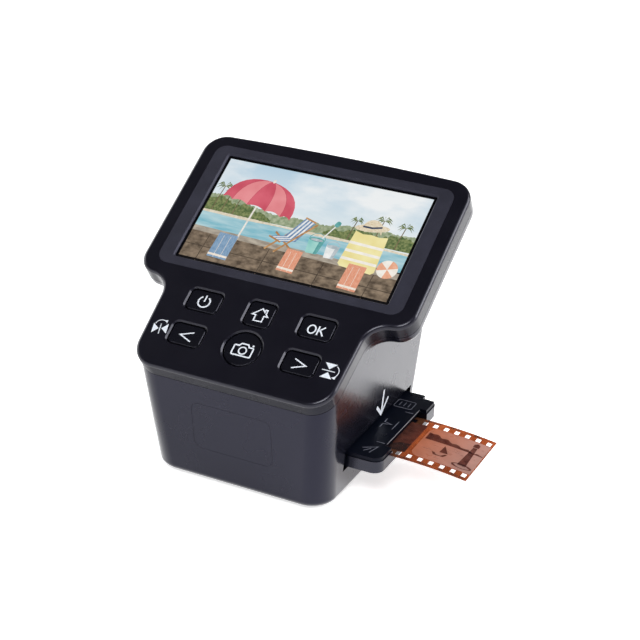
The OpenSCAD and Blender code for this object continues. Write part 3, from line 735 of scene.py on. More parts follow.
@dataclass(frozen=True)
class Ink(Finish):
    """Printed paint, a little uneven where it was pressed on."""

    colour: Colour
    roughness: float = 0.45

    def lay(self, bench: Bench) -> None:
        """Lays out the nodes.

        Args:
            bench: The material's bench.
        """
        spots = bench.noise(0.6, 4.0)
        bench.put({
            "Base Color": bench.mottled(spots, self.colour, 0.93, 1.0, (0.32, 0.6)),
            "Roughness": bench.around(bench.noise(1.5), self.roughness, 0.15),
        })
        bench.relief(bench.noise(0.25, 3.0), 0.006)


@dataclass(frozen=True)
class Clear(Finish):
    """Clear glass or a milky sheet that lets light through."""

    colour: Colour
    roughness: float
    through: float = 1.0
    bend: float = 1.5

    def lay(self, bench: Bench) -> None:
        """Lays out the nodes.

        Args:
            bench: The material's bench.
        """
        low, high = self.roughness * 0.8, self.roughness * 1.2 + 0.005
        bench.put({
            "Base Color": bench.mottled(bench.noise(12.0), self.colour, 0.97, 1.0),
            "Roughness": bench.span(bench.noise(5.0, 4.0), low, high),
            "Transmission Weight": self.through,
            "IOR": self.bend,
        })
        bench.relief(bench.noise(4.0), 0.001)


@dataclass(frozen=True)
class Lit(Finish):
    """Part of the lit picture, under a glossy pane."""

    def _light(self, bench: Bench, colour: Socket) -> None:
        """Gives the material its light and its pane.

        Args:
            bench: The material's bench.
            colour: Colour of the light.
        """
        bench.put({
            "Emission Color": colour,
            "Emission Strength": 0.94,
            "Base Color": linear((5, 5, 6)),
            "Roughness": bench.span(bench.noise(20.0), 0.1, 0.16),
            "Specular IOR Level": 0.3,
        })


@dataclass(frozen=True)
class Glow(Lit):
    """One colour of the lit picture, blotched at its own scale."""

    dark: Colour
    light: Colour
    size: float = 2.0
    detail: float = 5.0
    stretch: Triple = (1.0, 1.0, 1.0)
    reach: Flat = (0.34, 0.66)

    def lay(self, bench: Bench) -> None:
        """Lays out the nodes.

        Args:
            bench: The material's bench.
        """
        spots = bench.noise(self.size, self.detail, bench.stretched(self.stretch))
        stops = ((self.reach[0], self.dark), (self.reach[1], self.light))
        self._light(bench, bench.colours(spots, stops))
        bench.relief(bench.noise(8.0), 0.0006)


@dataclass(frozen=True)
class Sky(Lit):
    """The picture's sky, paler near the land, with drifting cloud."""

    high: Colour
    low: Colour
    cloud: Colour
    bottom: float
    top: float

    def lay(self, bench: Bench) -> None:
        """Lays out the nodes.

        Args:
            bench: The material's bench.
        """
        fade = bench.span(bench.axis("Z"), 0.0, 1.0, self.bottom * MM, self.top * MM)
        blue = bench.colours(fade, ((0.0, self.low), (1.0, self.high)))
        white = bench.mottled(fade, self.cloud, 1.0, 0.985, (0.0, 1.0))
        drift = bench.noise(17.0, 6.0, bench.stretched((0.55, 1.0, 1.5)))
        self._light(bench, bench.mix(bench.span(drift, 0.0, 1.0, 0.4, 0.62), blue, white))


@dataclass(frozen=True)
class FilmBase(Finish):
    """Developed colour film: a clear tinted base with a little milkiness and a gloss."""

    thin: Colour
    dense: Colour
    size: float = 9.0
    body: float = 0.3
    roughness: float = 0.16
    haze: Colour | None = None
    haze_end: Colour | None = None
    haze_turns: Flat = (46.0, 72.0)
    reach: Flat = (0.35, 0.65)

    def lay(self, bench: Bench) -> None:
        """Lays out the nodes so that the film lets tinted light through.

        Args:
            bench: The material's bench.
        """
        stops = ((self.reach[0], self.dense), (self.reach[1], self.thin))
        tint = bench.colours(bench.noise(self.size, 4.0), stops)
        bench.put({
            "Base Color": tint if self.haze is None else self._milk(bench),
            "Roughness": bench.around(bench.noise(3.0), self.roughness, 0.3),
            "Specular IOR Level": 0.3,
        })
        bench.relief(bench.noise(0.8, 3.0), 0.0004)
        clear = bench.add("BsdfTransparent", {"Color": tint}).outputs["BSDF"]
        gloss = bench.shader.outputs["BSDF"]
        blend = bench.add("MixShader", {"Fac": self.body, 1: clear, 2: gloss})
        bench.feed(bench.tree.nodes["Material Output"], {"Surface": blend.outputs["Shader"]})

    def _milk(self, bench: Bench) -> Socket:
        """Lays out the colour of the film's milkiness.

        Args:
            bench: The material's bench.

        Returns:
            One mottled colour, or two that change over along the film.
        """
        spots = bench.noise(self.size, 3.0)
        near = bench.mottled(spots, self.haze, 0.95, 1.04, self.reach)
        if self.haze_end is None:
            return near
        far = bench.mottled(spots, self.haze_end, 0.95, 1.04, self.reach)
        start, end = self.haze_turns
        return bench.mix(bench.span(bench.axis("X"), 0.0, 1.0, start * MM, end * MM), near, far)


# ---------------------------------------------------------------- the frame's own parts


@dataclass
class Shell:
    """The frame's own parts, each given its finish."""

    panel: Moulded = Moulded(
        "panel_satin_black", (12, 11, 20), 0.33, 0.45, 0.001, 0.05, 0.35, 0.5, 0.0, 1.4
    )
    housing: Moulded = Moulded(
        "housing_charcoal", (14, 14, 22), 0.26, 0.5, 0.0003, 0.05, 0.17, 1.0, 0.0,
        coat_bend=1.275, sheen_tint=(0.25, 0.25, 1.0), coat_roughness=0.22,
    )
    plate: Moulded = replace(housing, name="plate_satin", roughness=0.27)
    band: Moulded = replace(
        housing, name="band_charcoal", roughness=0.27, depth=0.0005, specular=0.12, coat=0.75,
        coat_bend=1.27, sheen_tint=(0.5, 0.5, 1.0), coat_fades=(58.0, 76.0),
    )
    base: Moulded = Moulded("base_charcoal", (30, 30, 34), 0.55, 0.6, 0.012)
    rubber: Moulded = Moulded("foot_rubber", (24, 24, 25), 0.8, 0.7, 0.03, 0.12, 0.3)
    bezel: Moulded = Moulded("bezel_grained", (43, 43, 53), 0.5, 0.32, 0.012, 0.1, 0.4, ease=0.0)
    key: Moulded = Moulded(
        "key_satin_black", (9, 9, 16), 0.28, 0.4, 0.002, 0.05, 0.45, 0.15, 0.12
    )
    tray: Moulded = Moulded("tray_black", (9, 11, 19), 0.25, 0.8, 0.0008, 0.08, 0.5, 0.15, 0.12)
    lid: Moulded = Moulded("tray_lid_black", (8, 11, 20), 0.3, 0.8, 0.0008, 0.08, 0.14, ease=0.12)
    inner: Moulded = Moulded("inner_black", (22, 22, 24), 0.6, 0.6, 0.01)
    white: Moulded = Moulded("inner_white", (232, 232, 228), 0.55, 0.8, 0.01, 0.02)
    switch: Moulded = Moulded("switch_white", (222, 222, 216), 0.45, 0.3, 0.005, 0.03)
    chip: Moulded = Moulded("chip_epoxy", (26, 27, 29), 0.5, 0.2, 0.01, 0.1)
    module: Moulded = Moulded("display_back", (60, 62, 66), 0.35, 0.8, 0.003)
    pane: Moulded = Moulded("screen_pane", (6, 6, 8), 0.08, 20.0, 0.0005, 0.02, ease=0.0)
    sensor: Moulded = Moulded("sensor_window", (40, 58, 74), 0.1, 3.0, 0.001)
    steel: Brushed = Brushed("screw_steel", (150, 150, 152), 0.28)
    sheet: Brushed = Brushed("sheet_steel", (176, 177, 180), 0.34)
    spring: Brushed = Brushed("spring_steel", (190, 190, 188), 0.22)
    shell: Brushed = Brushed("socket_shell", (186, 187, 190), 0.25)
    board: Board = Board("circuit_board", (16, 78, 48), (30, 108, 66))
    lamp: Ink = Ink("lamp_phosphor", (240, 222, 130))
    ribbon: Ink = Ink("ribbon_amber", (190, 122, 44), 0.3)
    glass: Clear = Clear("lens_glass", (236, 244, 250), 0.01)
    milky: Clear = Clear("diffuser_milky", (240, 240, 238), 0.5, 0.55)
    film: FilmBase = FilmBase(
        "film_base", (192, 134, 98), (176, 114, 76), body=0.08, roughness=0.2, haze=(240, 166, 122)
    )
    weld: float = 0.002
    crease: float = 24.0
    same_plane: float = 0.99999
    upright: float = 0.06

    def finishes(self) -> dict[str, Finish]:
        """Chooses the finishes.

        Returns:
            Which finish each of the frame's parts takes.
        """
        return {
            "front_cover": self.panel, "rear_housing": self.housing, "base_plate": self.base,
            "rubber_feet": self.rubber, "base_screws": self.steel, "cover_screws": self.steel,
            "badge_plate": self.plate, "screen_bezel": self.bezel, "display_glass": self.pane,
            "lcd_panel": self.module, "lcd_frame": self.sheet, "power_button": self.key,
            "home_button": self.key, "ok_button": self.key, "left_button": self.key,
            "right_button": self.key, "capture_button": self.key, "key_board": self.board,
            "key_switches": self.switch, "main_board": self.board, "board_chips": self.chip,
            "usb_c_socket": self.shell, "mini_hdmi_socket": self.shell,
            "sd_card_socket": self.shell, "light_box": self.white, "backlight_board": self.board,
            "backlight_leds": self.lamp, "diffuser_plate": self.milky, "lower_gate": self.inner,
            "upper_gate": self.inner, "detent_spring": self.spring, "lens_bracket": self.inner,
            "lens_barrel": self.inner, "lens_elements": self.glass, "sensor_board": self.board,
            "image_sensor": self.sensor, "display_ribbon": self.ribbon,
            "sensor_ribbon": self.ribbon, "tray_base": self.tray, "tray_lid": self.lid,
            "tray_hinge_pins": self.steel, "film_strip": self.film,
        }

    @staticmethod
    def smoothed() -> dict[str, tuple[Body, str]]:
        """Lists the parts whose roundings are shaded evenly.

        Returns:
            The body and the material slot of each.
        """
        keys = (Body.POWER, Body.HOME, Body.OK, Body.LEFT, Body.RIGHT, Body.CAPTURE)
        return {
            "front_cover": (Body.HOUSING, "front_gloss"),
            "rear_housing": (Body.HOUSING, "housing_satin"),
            "screen_bezel": (Body.HOUSING, "bezel_textured"),
            **{f"{key.name.lower()}_button": (key, "key_gloss") for key in keys},
            "tray_base": (Body.TRAY, "tray_black"),
            "tray_lid": (Body.TRAY, "tray_black"),
        }

    def dress(self, frame: dict) -> None:
        """Gives every part of the frame its finish.
        """
        made: dict[str, Material] = {}
        smoothed = self.smoothed()
        for node, finish in self.finishes().items():
            if finish.name not in made:
                made[finish.name] = finish.make()
            part = frame["nodes"][node]
            if node in smoothed:
                skin = self._smooth_copy(part, node, smoothed[node], made[finish.name])
                if node == "front_cover":
                    self._dress_band(skin)
                continue
            if not part.material_slots:
                part.data.materials.append(None)
            for holder in part.material_slots:
                holder.link = "OBJECT"
                holder.material = made[finish.name]
            LOG.info("%s has finish %s", node, finish.name)

    def _smooth_copy(
        self, part: bpy.types.Object, node: str, ride: tuple[Body, str], finish: Material
    ) -> bpy.types.Object:
        """Replaces a part by its own shape with its roundings shaded evenly.

        Args:
            part: The frame's object.
            node: Its name.
            ride: The body that it rides on and its material slot in the record.
            finish: Its material.

        Returns:
            The copy.
        """
        mesh = bmesh.new()
        mesh.from_mesh(part.data)
        bmesh.ops.remove_doubles(mesh, verts=mesh.verts, dist=self.weld * MM)
        limit = math.radians(self.crease)
        for face in mesh.faces:
            face.smooth = True
            face.material_index = 0
        for edge in mesh.edges:
            edge.smooth = len(edge.link_faces) == 2 and edge.calc_face_angle(0.0) < limit
        normals = self._even_normals(mesh)
        skin = cast(node + "_skin", mesh, [finish])
        skin.data.normals_split_custom_set(normals)
        body, slot = ride
        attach(skin, body.value)
        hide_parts(node)
        LOG.info("%s stands for %s", skin.name, node)
        return skin

    def _dress_band(self, skin: bpy.types.Object) -> None:
        """Gives the cover's upright sides their own finish.

        Args:
            skin: The cover.
        """
        skin.data.materials.append(self.band.make())
        outward = (LAYOUT.panel(0, 0, 1) - LAYOUT.panel(0, 0, 0)).normalized()
        for face in skin.data.polygons:
            if abs(face.normal.dot(outward)) < self.upright:
                face.material_index = 1

    def _flats(self, mesh: bmesh.types.BMesh) -> tuple[list[int], list[Vector]]:
        """Gathers faces that lie in one plane and touch each other.

        Args:
            mesh: The shape.

        Returns:
            The flat that each face belongs to, and each flat's direction times its area.
        """
        mesh.faces.ensure_lookup_table()
        mesh.faces.index_update()
        member = [-1] * len(mesh.faces)
        weights: list[Vector] = []
        for seed in mesh.faces:
            if member[seed.index] >= 0:
                continue
            member[seed.index] = len(weights)
            waiting, area = [seed], 0.0
            while waiting:
                face = waiting.pop()
                area += face.calc_area()
                for other in (near for edge in face.edges for near in edge.link_faces):
                    level = other.normal.dot(seed.normal) > self.same_plane
                    if member[other.index] < 0 and level:
                        member[other.index] = len(weights)
                        waiting.append(other)
            weights.append(seed.normal * area)
        return member, weights

    def _even_normals(self, mesh: bmesh.types.BMesh) -> list[Vector]:
        """Works out shading directions in which a large flat outweighs the strips beside it.

        Args:
            mesh: The shape, its creases marked as sharp edges.

        Returns:
            One direction for each corner of each face.
        """
        member, weights = self._flats(mesh)
        found: dict[tuple[int, int], Vector] = {}
        for vert in mesh.verts:
            for start in vert.link_faces:
                if (vert.index, start.index) in found:
                    continue
                fan = self._fan(vert, start)
                total = Vector((0, 0, 0))
                for flat in {member[index] for index in fan}:
                    total += weights[flat]
                for index in fan:
                    found[(vert.index, index)] = total.normalized()
        return [found[(loop.vert.index, face.index)] for face in mesh.faces for loop in face.loops]

    @staticmethod
    def _fan(vert: bmesh.types.BMVert, start: bmesh.types.BMFace) -> set[int]:
        """Gathers the faces round a corner that no crease parts.

        Args:
            vert: The corner.
            start: One of its faces.

        Returns:
            The faces' numbers.
        """
        fan, waiting = {start.index}, [start]
        while waiting:
            for edge in waiting.pop().edges:
                if not edge.smooth or vert not in edge.verts:
                    continue
                for other in edge.link_faces:
                    if other.index not in fan:
                        fan.add(other.index)
                        waiting.append(other)
        return fan


# ---------------------------------------------------------------- printed legends


@dataclass
class Legends:
    """The signs printed on the keys, on the panel beside them and on the right-hand wall."""

    ink: Ink = Ink("legend_ink", (240, 246, 255))
    line: float = 0.62
    finer: float = 0.86
    thick: float = 0.03
    row_one: float = -45.1
    row_two: float = -61.8
    column: float = 25.2
    cap_lift: float = -0.5
    slant: float = 10.0
    arrow_line: float = 1.4

    def build(self) -> None:
        """Prints every sign."""
        self.material = self.ink.make()
        self._power()
        self._home()
        self._ok()
        self._chevrons()
        self._camera()
        self._mirror()
        self._flip()
        self._wall_arrow()

    def _print(self, sketch: Sketch, body: Body) -> None:
        """Builds one sign in the legend ink."""
        sketch.build(body, [self.material], self.thick)

    def _power(self) -> None:
        """Prints a ring open at its top with a short bar in the gap."""
        u, v = -self.column, self.row_one - 0.3
        sign = Sketch("power_sign", LAYOUT.panel)
        sign.stroke(arc((u, v), 2.55, 122, 418, 36), self.line, self.cap_lift)
        sign.stroke([(u, v + 0.1), (u, v + 3.1)], self.line, self.cap_lift)
        self._print(sign, Body.POWER)

    def _home(self) -> None:
        """Prints a small house with a chimney."""
        sign = Sketch("home_sign", LAYOUT.panel)
        outline = [
            (-1.8, -3.0), (-1.8, -0.3), (-3.4, -0.3), (0, 3.0), (1.45, 1.6), (1.45, 2.7),
            (2.3, 2.7), (2.3, 0.8), (3.4, -0.3), (1.8, -0.3), (1.8, -3.0),
        ]
        outline = moved(outline, (0.15, self.row_one))
        sign.stroke(outline, self.line * self.finer, self.cap_lift, closed=True)
        self._print(sign, Body.HOME)

    def _ok(self) -> None:
        """Prints the plain word for yes."""
        u, v = self.column, self.row_one - 0.7
        sign = Sketch("ok_sign", LAYOUT.panel)
        sign.stroke(oval((u - 1.95, v), 1.6, 1.9), self.line, self.cap_lift, closed=True)
        for start, end in (
            ((0.8, 2.1), (0.8, -2.1)), ((3.3, 2.1), (1.0, -0.25)), ((1.6, 0.35), (3.45, -2.1)),
        ):
            sign.stroke(moved([start, end], (u, v)), self.line, self.cap_lift)
        self._print(sign, Body.OK)

    def _chevrons(self) -> None:
        """Prints the back and forward marks."""
        for name, body, way in (("back_sign", Body.LEFT, -1), ("forward_sign", Body.RIGHT, 1)):
            u, v = way * self.column, self.row_two - 0.5
            back, tip = u - way * 2.75, u + way * 2.65
            sign = Sketch(name, LAYOUT.panel)
            points = [(back, v + 2.2), (tip, v + 0.05), (back, v - 2.1)]
            sign.stroke(points, self.line * self.finer, self.cap_lift)
            self._print(sign, body)

    def _camera(self) -> None:
        """Prints a camera in outline with its lens and a small lamp."""
        u, v = 0.35, self.row_two - 0.4
        sign = Sketch("camera_sign", LAYOUT.panel)
        outline = [
            (-3.9, -2.7), (-4.2, -2.3), (-4.2, 1.4), (-3.9, 1.7), (-2.3, 1.7), (-1.5, 2.8),
            (1.4, 2.8), (2.1, 1.7), (3.8, 1.7), (4.1, 1.4), (4.1, -2.3), (3.8, -2.7),
        ]
        sign.stroke(moved(outline, (u, v)), self.line, self.cap_lift, closed=True)
        sign.stroke(oval((u, v - 0.3), 1.6, 1.6), self.line * 0.9, self.cap_lift, closed=True)
        sign.fill(oval((u + 3.5, v + 2.75), 0.45, 0.45), self.cap_lift)
        self._print(sign, Body.CAPTURE)

    def _mirror(self) -> None:
        """Prints two triangles beside an upright line, with a turning arrow over them."""
        u, v = middle = (-37.2, -62.1)
        sign = Sketch("mirror_sign", LAYOUT.panel)
        for way in (-1, 1):
            wing = [(u + way * 0.6, v), (u + way * 3.2, v + 2.3), (u + way * 3.2, v - 2.3)]
            sign.fill(turned(wing, middle, self.slant))
        sign.stroke(turned([(u, v - 2.6), (u, v + 2.2)], middle, self.slant), 0.34)
        sign.stroke(turned(arc((u, v + 1.4), 2.6, 165, 48), middle, self.slant), 0.32)
        tip = [(u + 1.3, v + 3.9), (u + 2.5, v + 4.0), (u + 2.3, v + 2.5)]
        sign.fill(turned(tip, middle, self.slant))
        self._print(sign, Body.HOUSING)

    def _flip(self) -> None:
        """Prints two triangles over and under a level line, with a turning arrow beside them."""
        u, v = (37.6, -61.95)
        sign = Sketch("flip_sign", LAYOUT.panel)
        for way in (-1, 1):
            base = v + way * 3.35
            sign.fill([(u, v + way * 0.65), (u - 2.55, base), (u + 2.55, base)])
        sign.stroke([(u - 2.8, v), (u + 2.7, v)], 0.36)
        sign.stroke(arc((u + 1.3, v), 2.9, 62, -48), 0.34)
        sign.fill([(u + 3.95, v - 1.6), (u + 3.7, v - 3.2), (u + 2.2, v - 2.6)])
        self._print(sign, Body.HOUSING)

    def _wall_arrow(self) -> None:
        """Prints the arrow on the right-hand wall that shows where the tray goes in."""
        sign = Sketch("slot_arrow", LAYOUT.side)
        y, low, high, wing = -7.2, 23.9, 35.3, 5.7
        sign.stroke([(y, high), (y, low + 1.2)], self.arrow_line)
        sign.stroke([(y - wing, low + wing), (y, low), (y + wing, low + wing)], self.arrow_line)
        self._print(sign, Body.HOUSING)


# ---------------------------------------------------------------- the lit picture


class Tone(Enum):
    """The colours of the lit picture."""

    SKY = Sky("view_sky", (176, 206, 226), (226, 236, 240), (244, 247, 248), 96.0, 112.0)
    FAR_TREES = Glow("view_far_trees", (128, 146, 112), (178, 186, 156), 1.6)
    NEAR_TREES = Glow("view_near_trees", (74, 98, 58), (140, 148, 98), 1.1)
    TRUNK = Glow("view_trunks", (96, 84, 62), (136, 120, 92), 1.0)
    WATER = Glow("view_water", (122, 184, 200), (186, 216, 222), 2.6, stretch=(0.18, 1.0, 1.0))
    SAND = Glow("view_sand", (214, 202, 178), (236, 226, 206), 1.4)
    LEDGE = Glow("view_ledge", (150, 140, 128), (192, 182, 166), 1.6, 7.0, (0.4, 1.0, 1.0))
    STONE = Glow("view_stone", (86, 74, 62), (150, 132, 112), 2.4, 8.0, (0.7, 1.0, 1.2))
    JOINT = Glow("view_joints", (62, 54, 46), (92, 80, 68), 1.0)
    POLE = Glow("view_pole", (222, 216, 206), (244, 240, 232), 1.0)
    CORAL = Glow("view_coral", (200, 80, 98), (220, 104, 120), 9.0, 3.0)
    PALE_CORAL = Glow("view_coral_pale", (226, 132, 138), (236, 150, 154), 9.0, 3.0)
    HEM = Glow("view_coral_hem", (160, 56, 76), (186, 74, 92), 2.0)
    WOOD = Glow("view_wood", (168, 122, 80), (202, 158, 110), 1.2, 4.0, (0.4, 1.0, 1.0))
    DENIM = Glow("view_denim", (92, 122, 160), (142, 168, 198), 0.9, 4.0)
    WHITE = Glow("view_cloth_white", (222, 226, 228), (246, 246, 244), 2.0, 4.0)
    MINT = Glow("view_mint", (138, 202, 196), (168, 218, 210), 5.0, 2.0)
    DARK_MINT = Glow("view_mint_dark", (78, 150, 150), (110, 176, 172), 1.2, 3.0)
    ENAMEL = Glow("view_enamel", (226, 230, 230), (248, 248, 246), 2.0, 3.0)
    GREY = Glow("view_enamel_shade", (168, 180, 186), (198, 206, 210), 1.4, 3.0)
    LEMON = Glow("view_lemon", (236, 222, 152), (246, 236, 176), 7.0, 3.0)
    STRAW = Glow("view_straw", (214, 196, 164), (240, 228, 204), 0.7, stretch=(1.0, 1.0, 2.2))
    HAT_BAND = Glow("view_band", (52, 62, 84), (78, 88, 108), 1.0, 3.0)
    PEACH = Glow("view_peach", (226, 156, 122), (242, 186, 156), 2.4, 3.0)
    CREAM = Glow("view_cream", (240, 234, 222), (250, 246, 238), 2.4, 3.0)
    PEACH_TOWEL = Glow(
        "view_towel_peach", (222, 148, 118), (236, 172, 144), 1.2, stretch=(3.0, 1.0, 0.3)
    )
    BLUE_TOWEL = Glow(
        "view_towel_blue", (118, 150, 182), (146, 174, 200), 1.2, stretch=(3.0, 1.0, 0.3)
    )
    FRINGE = Glow("view_towel_end", (236, 222, 206), (250, 242, 230), 1.0, 3.0)
    # A black line round the picture's edge: painted shade of the bezel's inner wall.
    EDGE_SHADE = Glow("view_edge_shade", (3, 3, 4), (7, 7, 9), 4.0)


@dataclass
class SeasideView:
    """The picture on the screen: a beach with a parasol, a deck chair and things for bathing."""

    wide: float = 94.3
    high: float = 52.7
    lift: float = -1.46
    layer: float = 0.004
    shore: float = -1.5
    wall_top: float = -10.5
    seed: int = 7

    def build(self) -> None:
        """Draws the picture from back to front."""
        self.dice = random.Random(self.seed)
        self.sketch = Sketch("screen_picture", LAYOUT.panel)
        self.numbers = {tone: number for number, tone in enumerate(Tone)}
        self.depth = 0
        self._background()
        self._wall()
        self._parasol()
        self._deck_chair()
        self._buckets()
        self._beach_bag()
        self._towels()
        # A black line round the picture's edge is painted shade of the bezel's inner wall.
        w, h = self.wide / 2, self.high / 2
        self._line([(-w, -h), (w, -h), (w, h), (-w, h)], 0.6, Tone.EDGE_SHADE, True)
        self.sketch.build(Body.HOUSING, [tone.value.make() for tone in Tone])

    def _raise(self) -> float:
        """Returns the height of a new layer over all that was drawn before."""
        self.depth += 1
        return self.lift + self.layer * self.depth

    def _draw(self, outline: Sequence[Flat], tone: Tone) -> None:
        """Adds a shape over all that was drawn before, kept inside the picture.

        Args:
            outline: Its corners in order.
            tone: Its colour.
        """
        w, h = self.wide / 2, self.high / 2
        kept = [(max(-w, min(w, x)), max(-h, min(h, y))) for x, y in outline]
        self.sketch.fill(kept, self._raise(), self.numbers[tone])

    def _line(
        self, points: Sequence[Flat], width: float, tone: Tone, closed: bool = False
    ) -> None:
        """Adds a line over all that was drawn before."""
        self.sketch.stroke(points, width, self._raise(), self.numbers[tone], closed)

    def _ragged(
        self, ends: Flat, base: float, tops: Sequence[float], rough: float, tone: Tone
    ) -> None:
        """Draws a strip with an uneven top.

        Args:
            ends: Its left and right ends.
            base: Height of its straight lower edge.
            tops: Heights of its upper edge, evenly spaced.
            rough: How far single points stray from it.
            tone: Its colour.
        """
        start, end = ends
        count = max(12, round((end - start) / 0.7))
        points: list[Flat] = [(end, base), (start, base)]
        for i in range(count + 1):
            share = i / count * (len(tops) - 1)
            left = min(int(share), len(tops) - 2)
            part = share - left
            smooth = part * part * (3 - 2 * part)
            level = tops[left] * (1 - smooth) + tops[left + 1] * smooth
            stray = self.dice.uniform(-rough, rough)
            points.append((start + (end - start) * i / count, level + stray))
        self._draw(points, tone)

    def _background(self) -> None:
        """Draws sky, trees, sand and water."""
        w, h, shore = self.wide / 2, self.high / 2, self.shore
        self._draw([(-w, shore - 1), (w, shore - 1), (w, h), (-w, h)], Tone.SKY)
        far = (7.5, 8.5, 5.0, 3.0, 3.5, 3.2, 5.0, 7.0, 6.0, 6.8)
        self._ragged((-w, w), shore, far, 0.5, Tone.FAR_TREES)
        self._ragged((-w, -16), shore, (5.4, 6.8, 4.2, 4.8, 2.0, 0.6), 0.7, Tone.NEAR_TREES)
        self._ragged((8, w), shore, (0.6, 2.4, 4.6, 3.0, 5.2, 4.4), 0.7, Tone.NEAR_TREES)
        for x, top, size in (
            (-43, 12, 4.2), (-38.5, 9.5, 3.6), (-33, 11, 3.8),
            (20, 8.5, 3.2), (31, 11, 4.0), (41, 9.8, 3.8),
        ):
            self._palm((x, top), size)
        foot = self.wall_top - 1
        self._ragged((-w, w), foot, (-1.2, -1.4, -1.9, -1.5, -1.8, -2.2), 0.08, Tone.SAND)
        self._ragged((-w, w), foot, (-2.4, -2.9, -2.6, -3.0, -2.7, -3.2), 0.06, Tone.WATER)

    def _palm(self, top: Flat, size: float) -> None:
        """Draws one palm tree.

        Args:
            top: Where its leaves meet.
            size: Length of a leaf.
        """
        x, y = top
        self._line([(x - 0.8, self.shore), (x - 0.5, y * 0.5), (x, y)], 0.42, Tone.TRUNK)
        for angle in (-38, -8, 26, 62, 96, 132, 168, 205, 236):
            way = math.radians(angle + self.dice.uniform(-9, 9))
            dx, dy = math.cos(way) * size, math.sin(way) * size * 0.62
            u, v = x + dx * 0.55, y + dy * 0.62 + 0.7
            leaf = [(x, y), (u, v + 0.42), (x + dx, y + dy - 0.7), (u, v - 0.36)]
            self._draw(leaf, Tone.NEAR_TREES)

    def _wall(self) -> None:
        """Draws the stone wall with its ledge and joints."""
        w, h, top = self.wide / 2, self.high / 2, self.wall_top
        self._draw([(-w, -h), (w, -h), (w, top - 1.6), (-w, top + 0.6)], Tone.LEDGE)
        self._draw([(-w, -h), (w, -h), (w, top - 4.6), (-w, top - 2.0)], Tone.STONE)
        for x, high in ((-39, -13), (-11, -14), (14, -14.5), (36, -15)):
            self._line([(x, -27), (x + 0.8, high)], 0.35, Tone.JOINT)
        self._line([(-w, -19.4), (w, -21.6)], 0.35, Tone.JOINT)

    def _parasol(self) -> None:
        """Draws the parasol at the left, its canopy in five panels."""
        middle, reach, rise, lean = (-25.0, 4.2), 17.0, 14.5, -9.0
        crown = (middle[0], middle[1] + rise)
        pole = turned([crown, (middle[0], -15.5)], middle, lean * 0.4)
        self._line(pole, 0.8, Tone.POLE)
        edges = (-1.0, -0.72, -0.27, 0.27, 0.72, 1.0)
        rims = [(middle[0] + edge * reach, middle[1]) for edge in edges]
        for i in range(len(edges) - 1):
            (start, level), end = rims[i], rims[i + 1][0]
            outline = [self._rib(crown, rims[i], edges[i], s / 8) for s in range(9)]
            for s in range(1, 6):
                hem = level + 1.1 * math.sin(math.pi * s / 6)
                outline.append((start + (end - start) * s / 6, hem))
            outline += [self._rib(crown, rims[i + 1], edges[i + 1], 1 - s / 8) for s in range(8)]
            self._draw(turned(outline, middle, lean), Tone.PALE_CORAL if i % 2 else Tone.CORAL)
            if i + 1 < len(edges) - 1:
                rib = [self._rib(crown, rims[i + 1], edges[i + 1], s / 8) for s in range(9)]
                self._line(turned(rib, middle, lean), 0.22, Tone.HEM)
        knob = oval((crown[0], crown[1] + 0.5), 0.6, 1.0)
        self._draw(turned(knob, middle, lean), Tone.POLE)

    @staticmethod
    def _rib(crown: Flat, rim: Flat, bow: float, share: float) -> Flat:
        """Follows one rib of the canopy, which bows outward.

        Args:
            crown: Where the ribs meet.
            rim: Where this one ends.
            bow: How much it bows, from -1 at the left rim to 1 at the right.
            share: How far along it the point lies.

        Returns:
            The point.
        """
        x = crown[0] + (rim[0] - crown[0]) * math.sin(share * math.pi / 2)
        y = rim[1] + (crown[1] - rim[1]) * (1 - share ** (1.6 + 0.5 * abs(bow)))
        return (x, y)

    def _deck_chair(self) -> None:
        """Draws the deck chair beside the parasol."""
        self._line([(-12.6, -14.2), (0.6, 3.6)], 0.9, Tone.WOOD)
        self._line([(1.8, -14.6), (-11.2, -5.0)], 0.9, Tone.WOOD)
        stripes = 7
        for i in range(stripes):
            a, b = i / stripes, (i + 1) / stripes
            back = [(-1.4 + 5.0 * t, 4.4 - 1.5 * t) for t in (a, b)]
            bend = [(-6.6 + 5.6 * t, -5.9 - 2.0 * t) for t in (b, a)]
            seat = [(-13.0 + 5.6 * t, -7.6 - 1.8 * t) for t in (b, a)]
            self._draw([*back, bend[0], *seat, bend[1]], Tone.WHITE if i % 2 else Tone.DENIM)
        self._line([(-13.2, -7.6), (-7.2, -9.6)], 0.8, Tone.WOOD)
        self._line([(-1.6, 4.6), (3.8, 3.0)], 0.8, Tone.WOOD)
        self._line([(-8.2, -14.8), (4.8, 2.4)], 0.9, Tone.WOOD)

    def _buckets(self) -> None:
        """Draws two buckets and a spade in the middle."""
        for x, y, size, skin, lip in (
            (7.4, -8.2, 3.5, Tone.MINT, Tone.DARK_MINT), (15.4, -9.4, 2.9, Tone.ENAMEL, Tone.GREY),
        ):
            top, foot = y + size, y - size
            self._line(arc((x, y + size * 0.9), size * 1.02, 12, 168), 0.3, lip)
            for upper, lower, tone in ((-1, -0.72, skin), (0.4, 0.28, lip)):
                side = [(x + size * upper, top), (x + size * lower, foot)]
                self._draw([*side, (x + size * 0.72, foot), (x + size, top)], tone)
            self._draw(oval((x, top), size, size * 0.3), lip)
            self._draw(oval((x, y + size * 0.96), size * 0.8, size * 0.18), Tone.GREY)
        self._line([(9.4, -3.6), (12.4, 3.4)], 0.5, Tone.ENAMEL)
        blade = (12.9, 4.6)
        self._draw(turned(rounded(blade, 2.2, 3.0, 0.9), blade, -22), Tone.DARK_MINT)

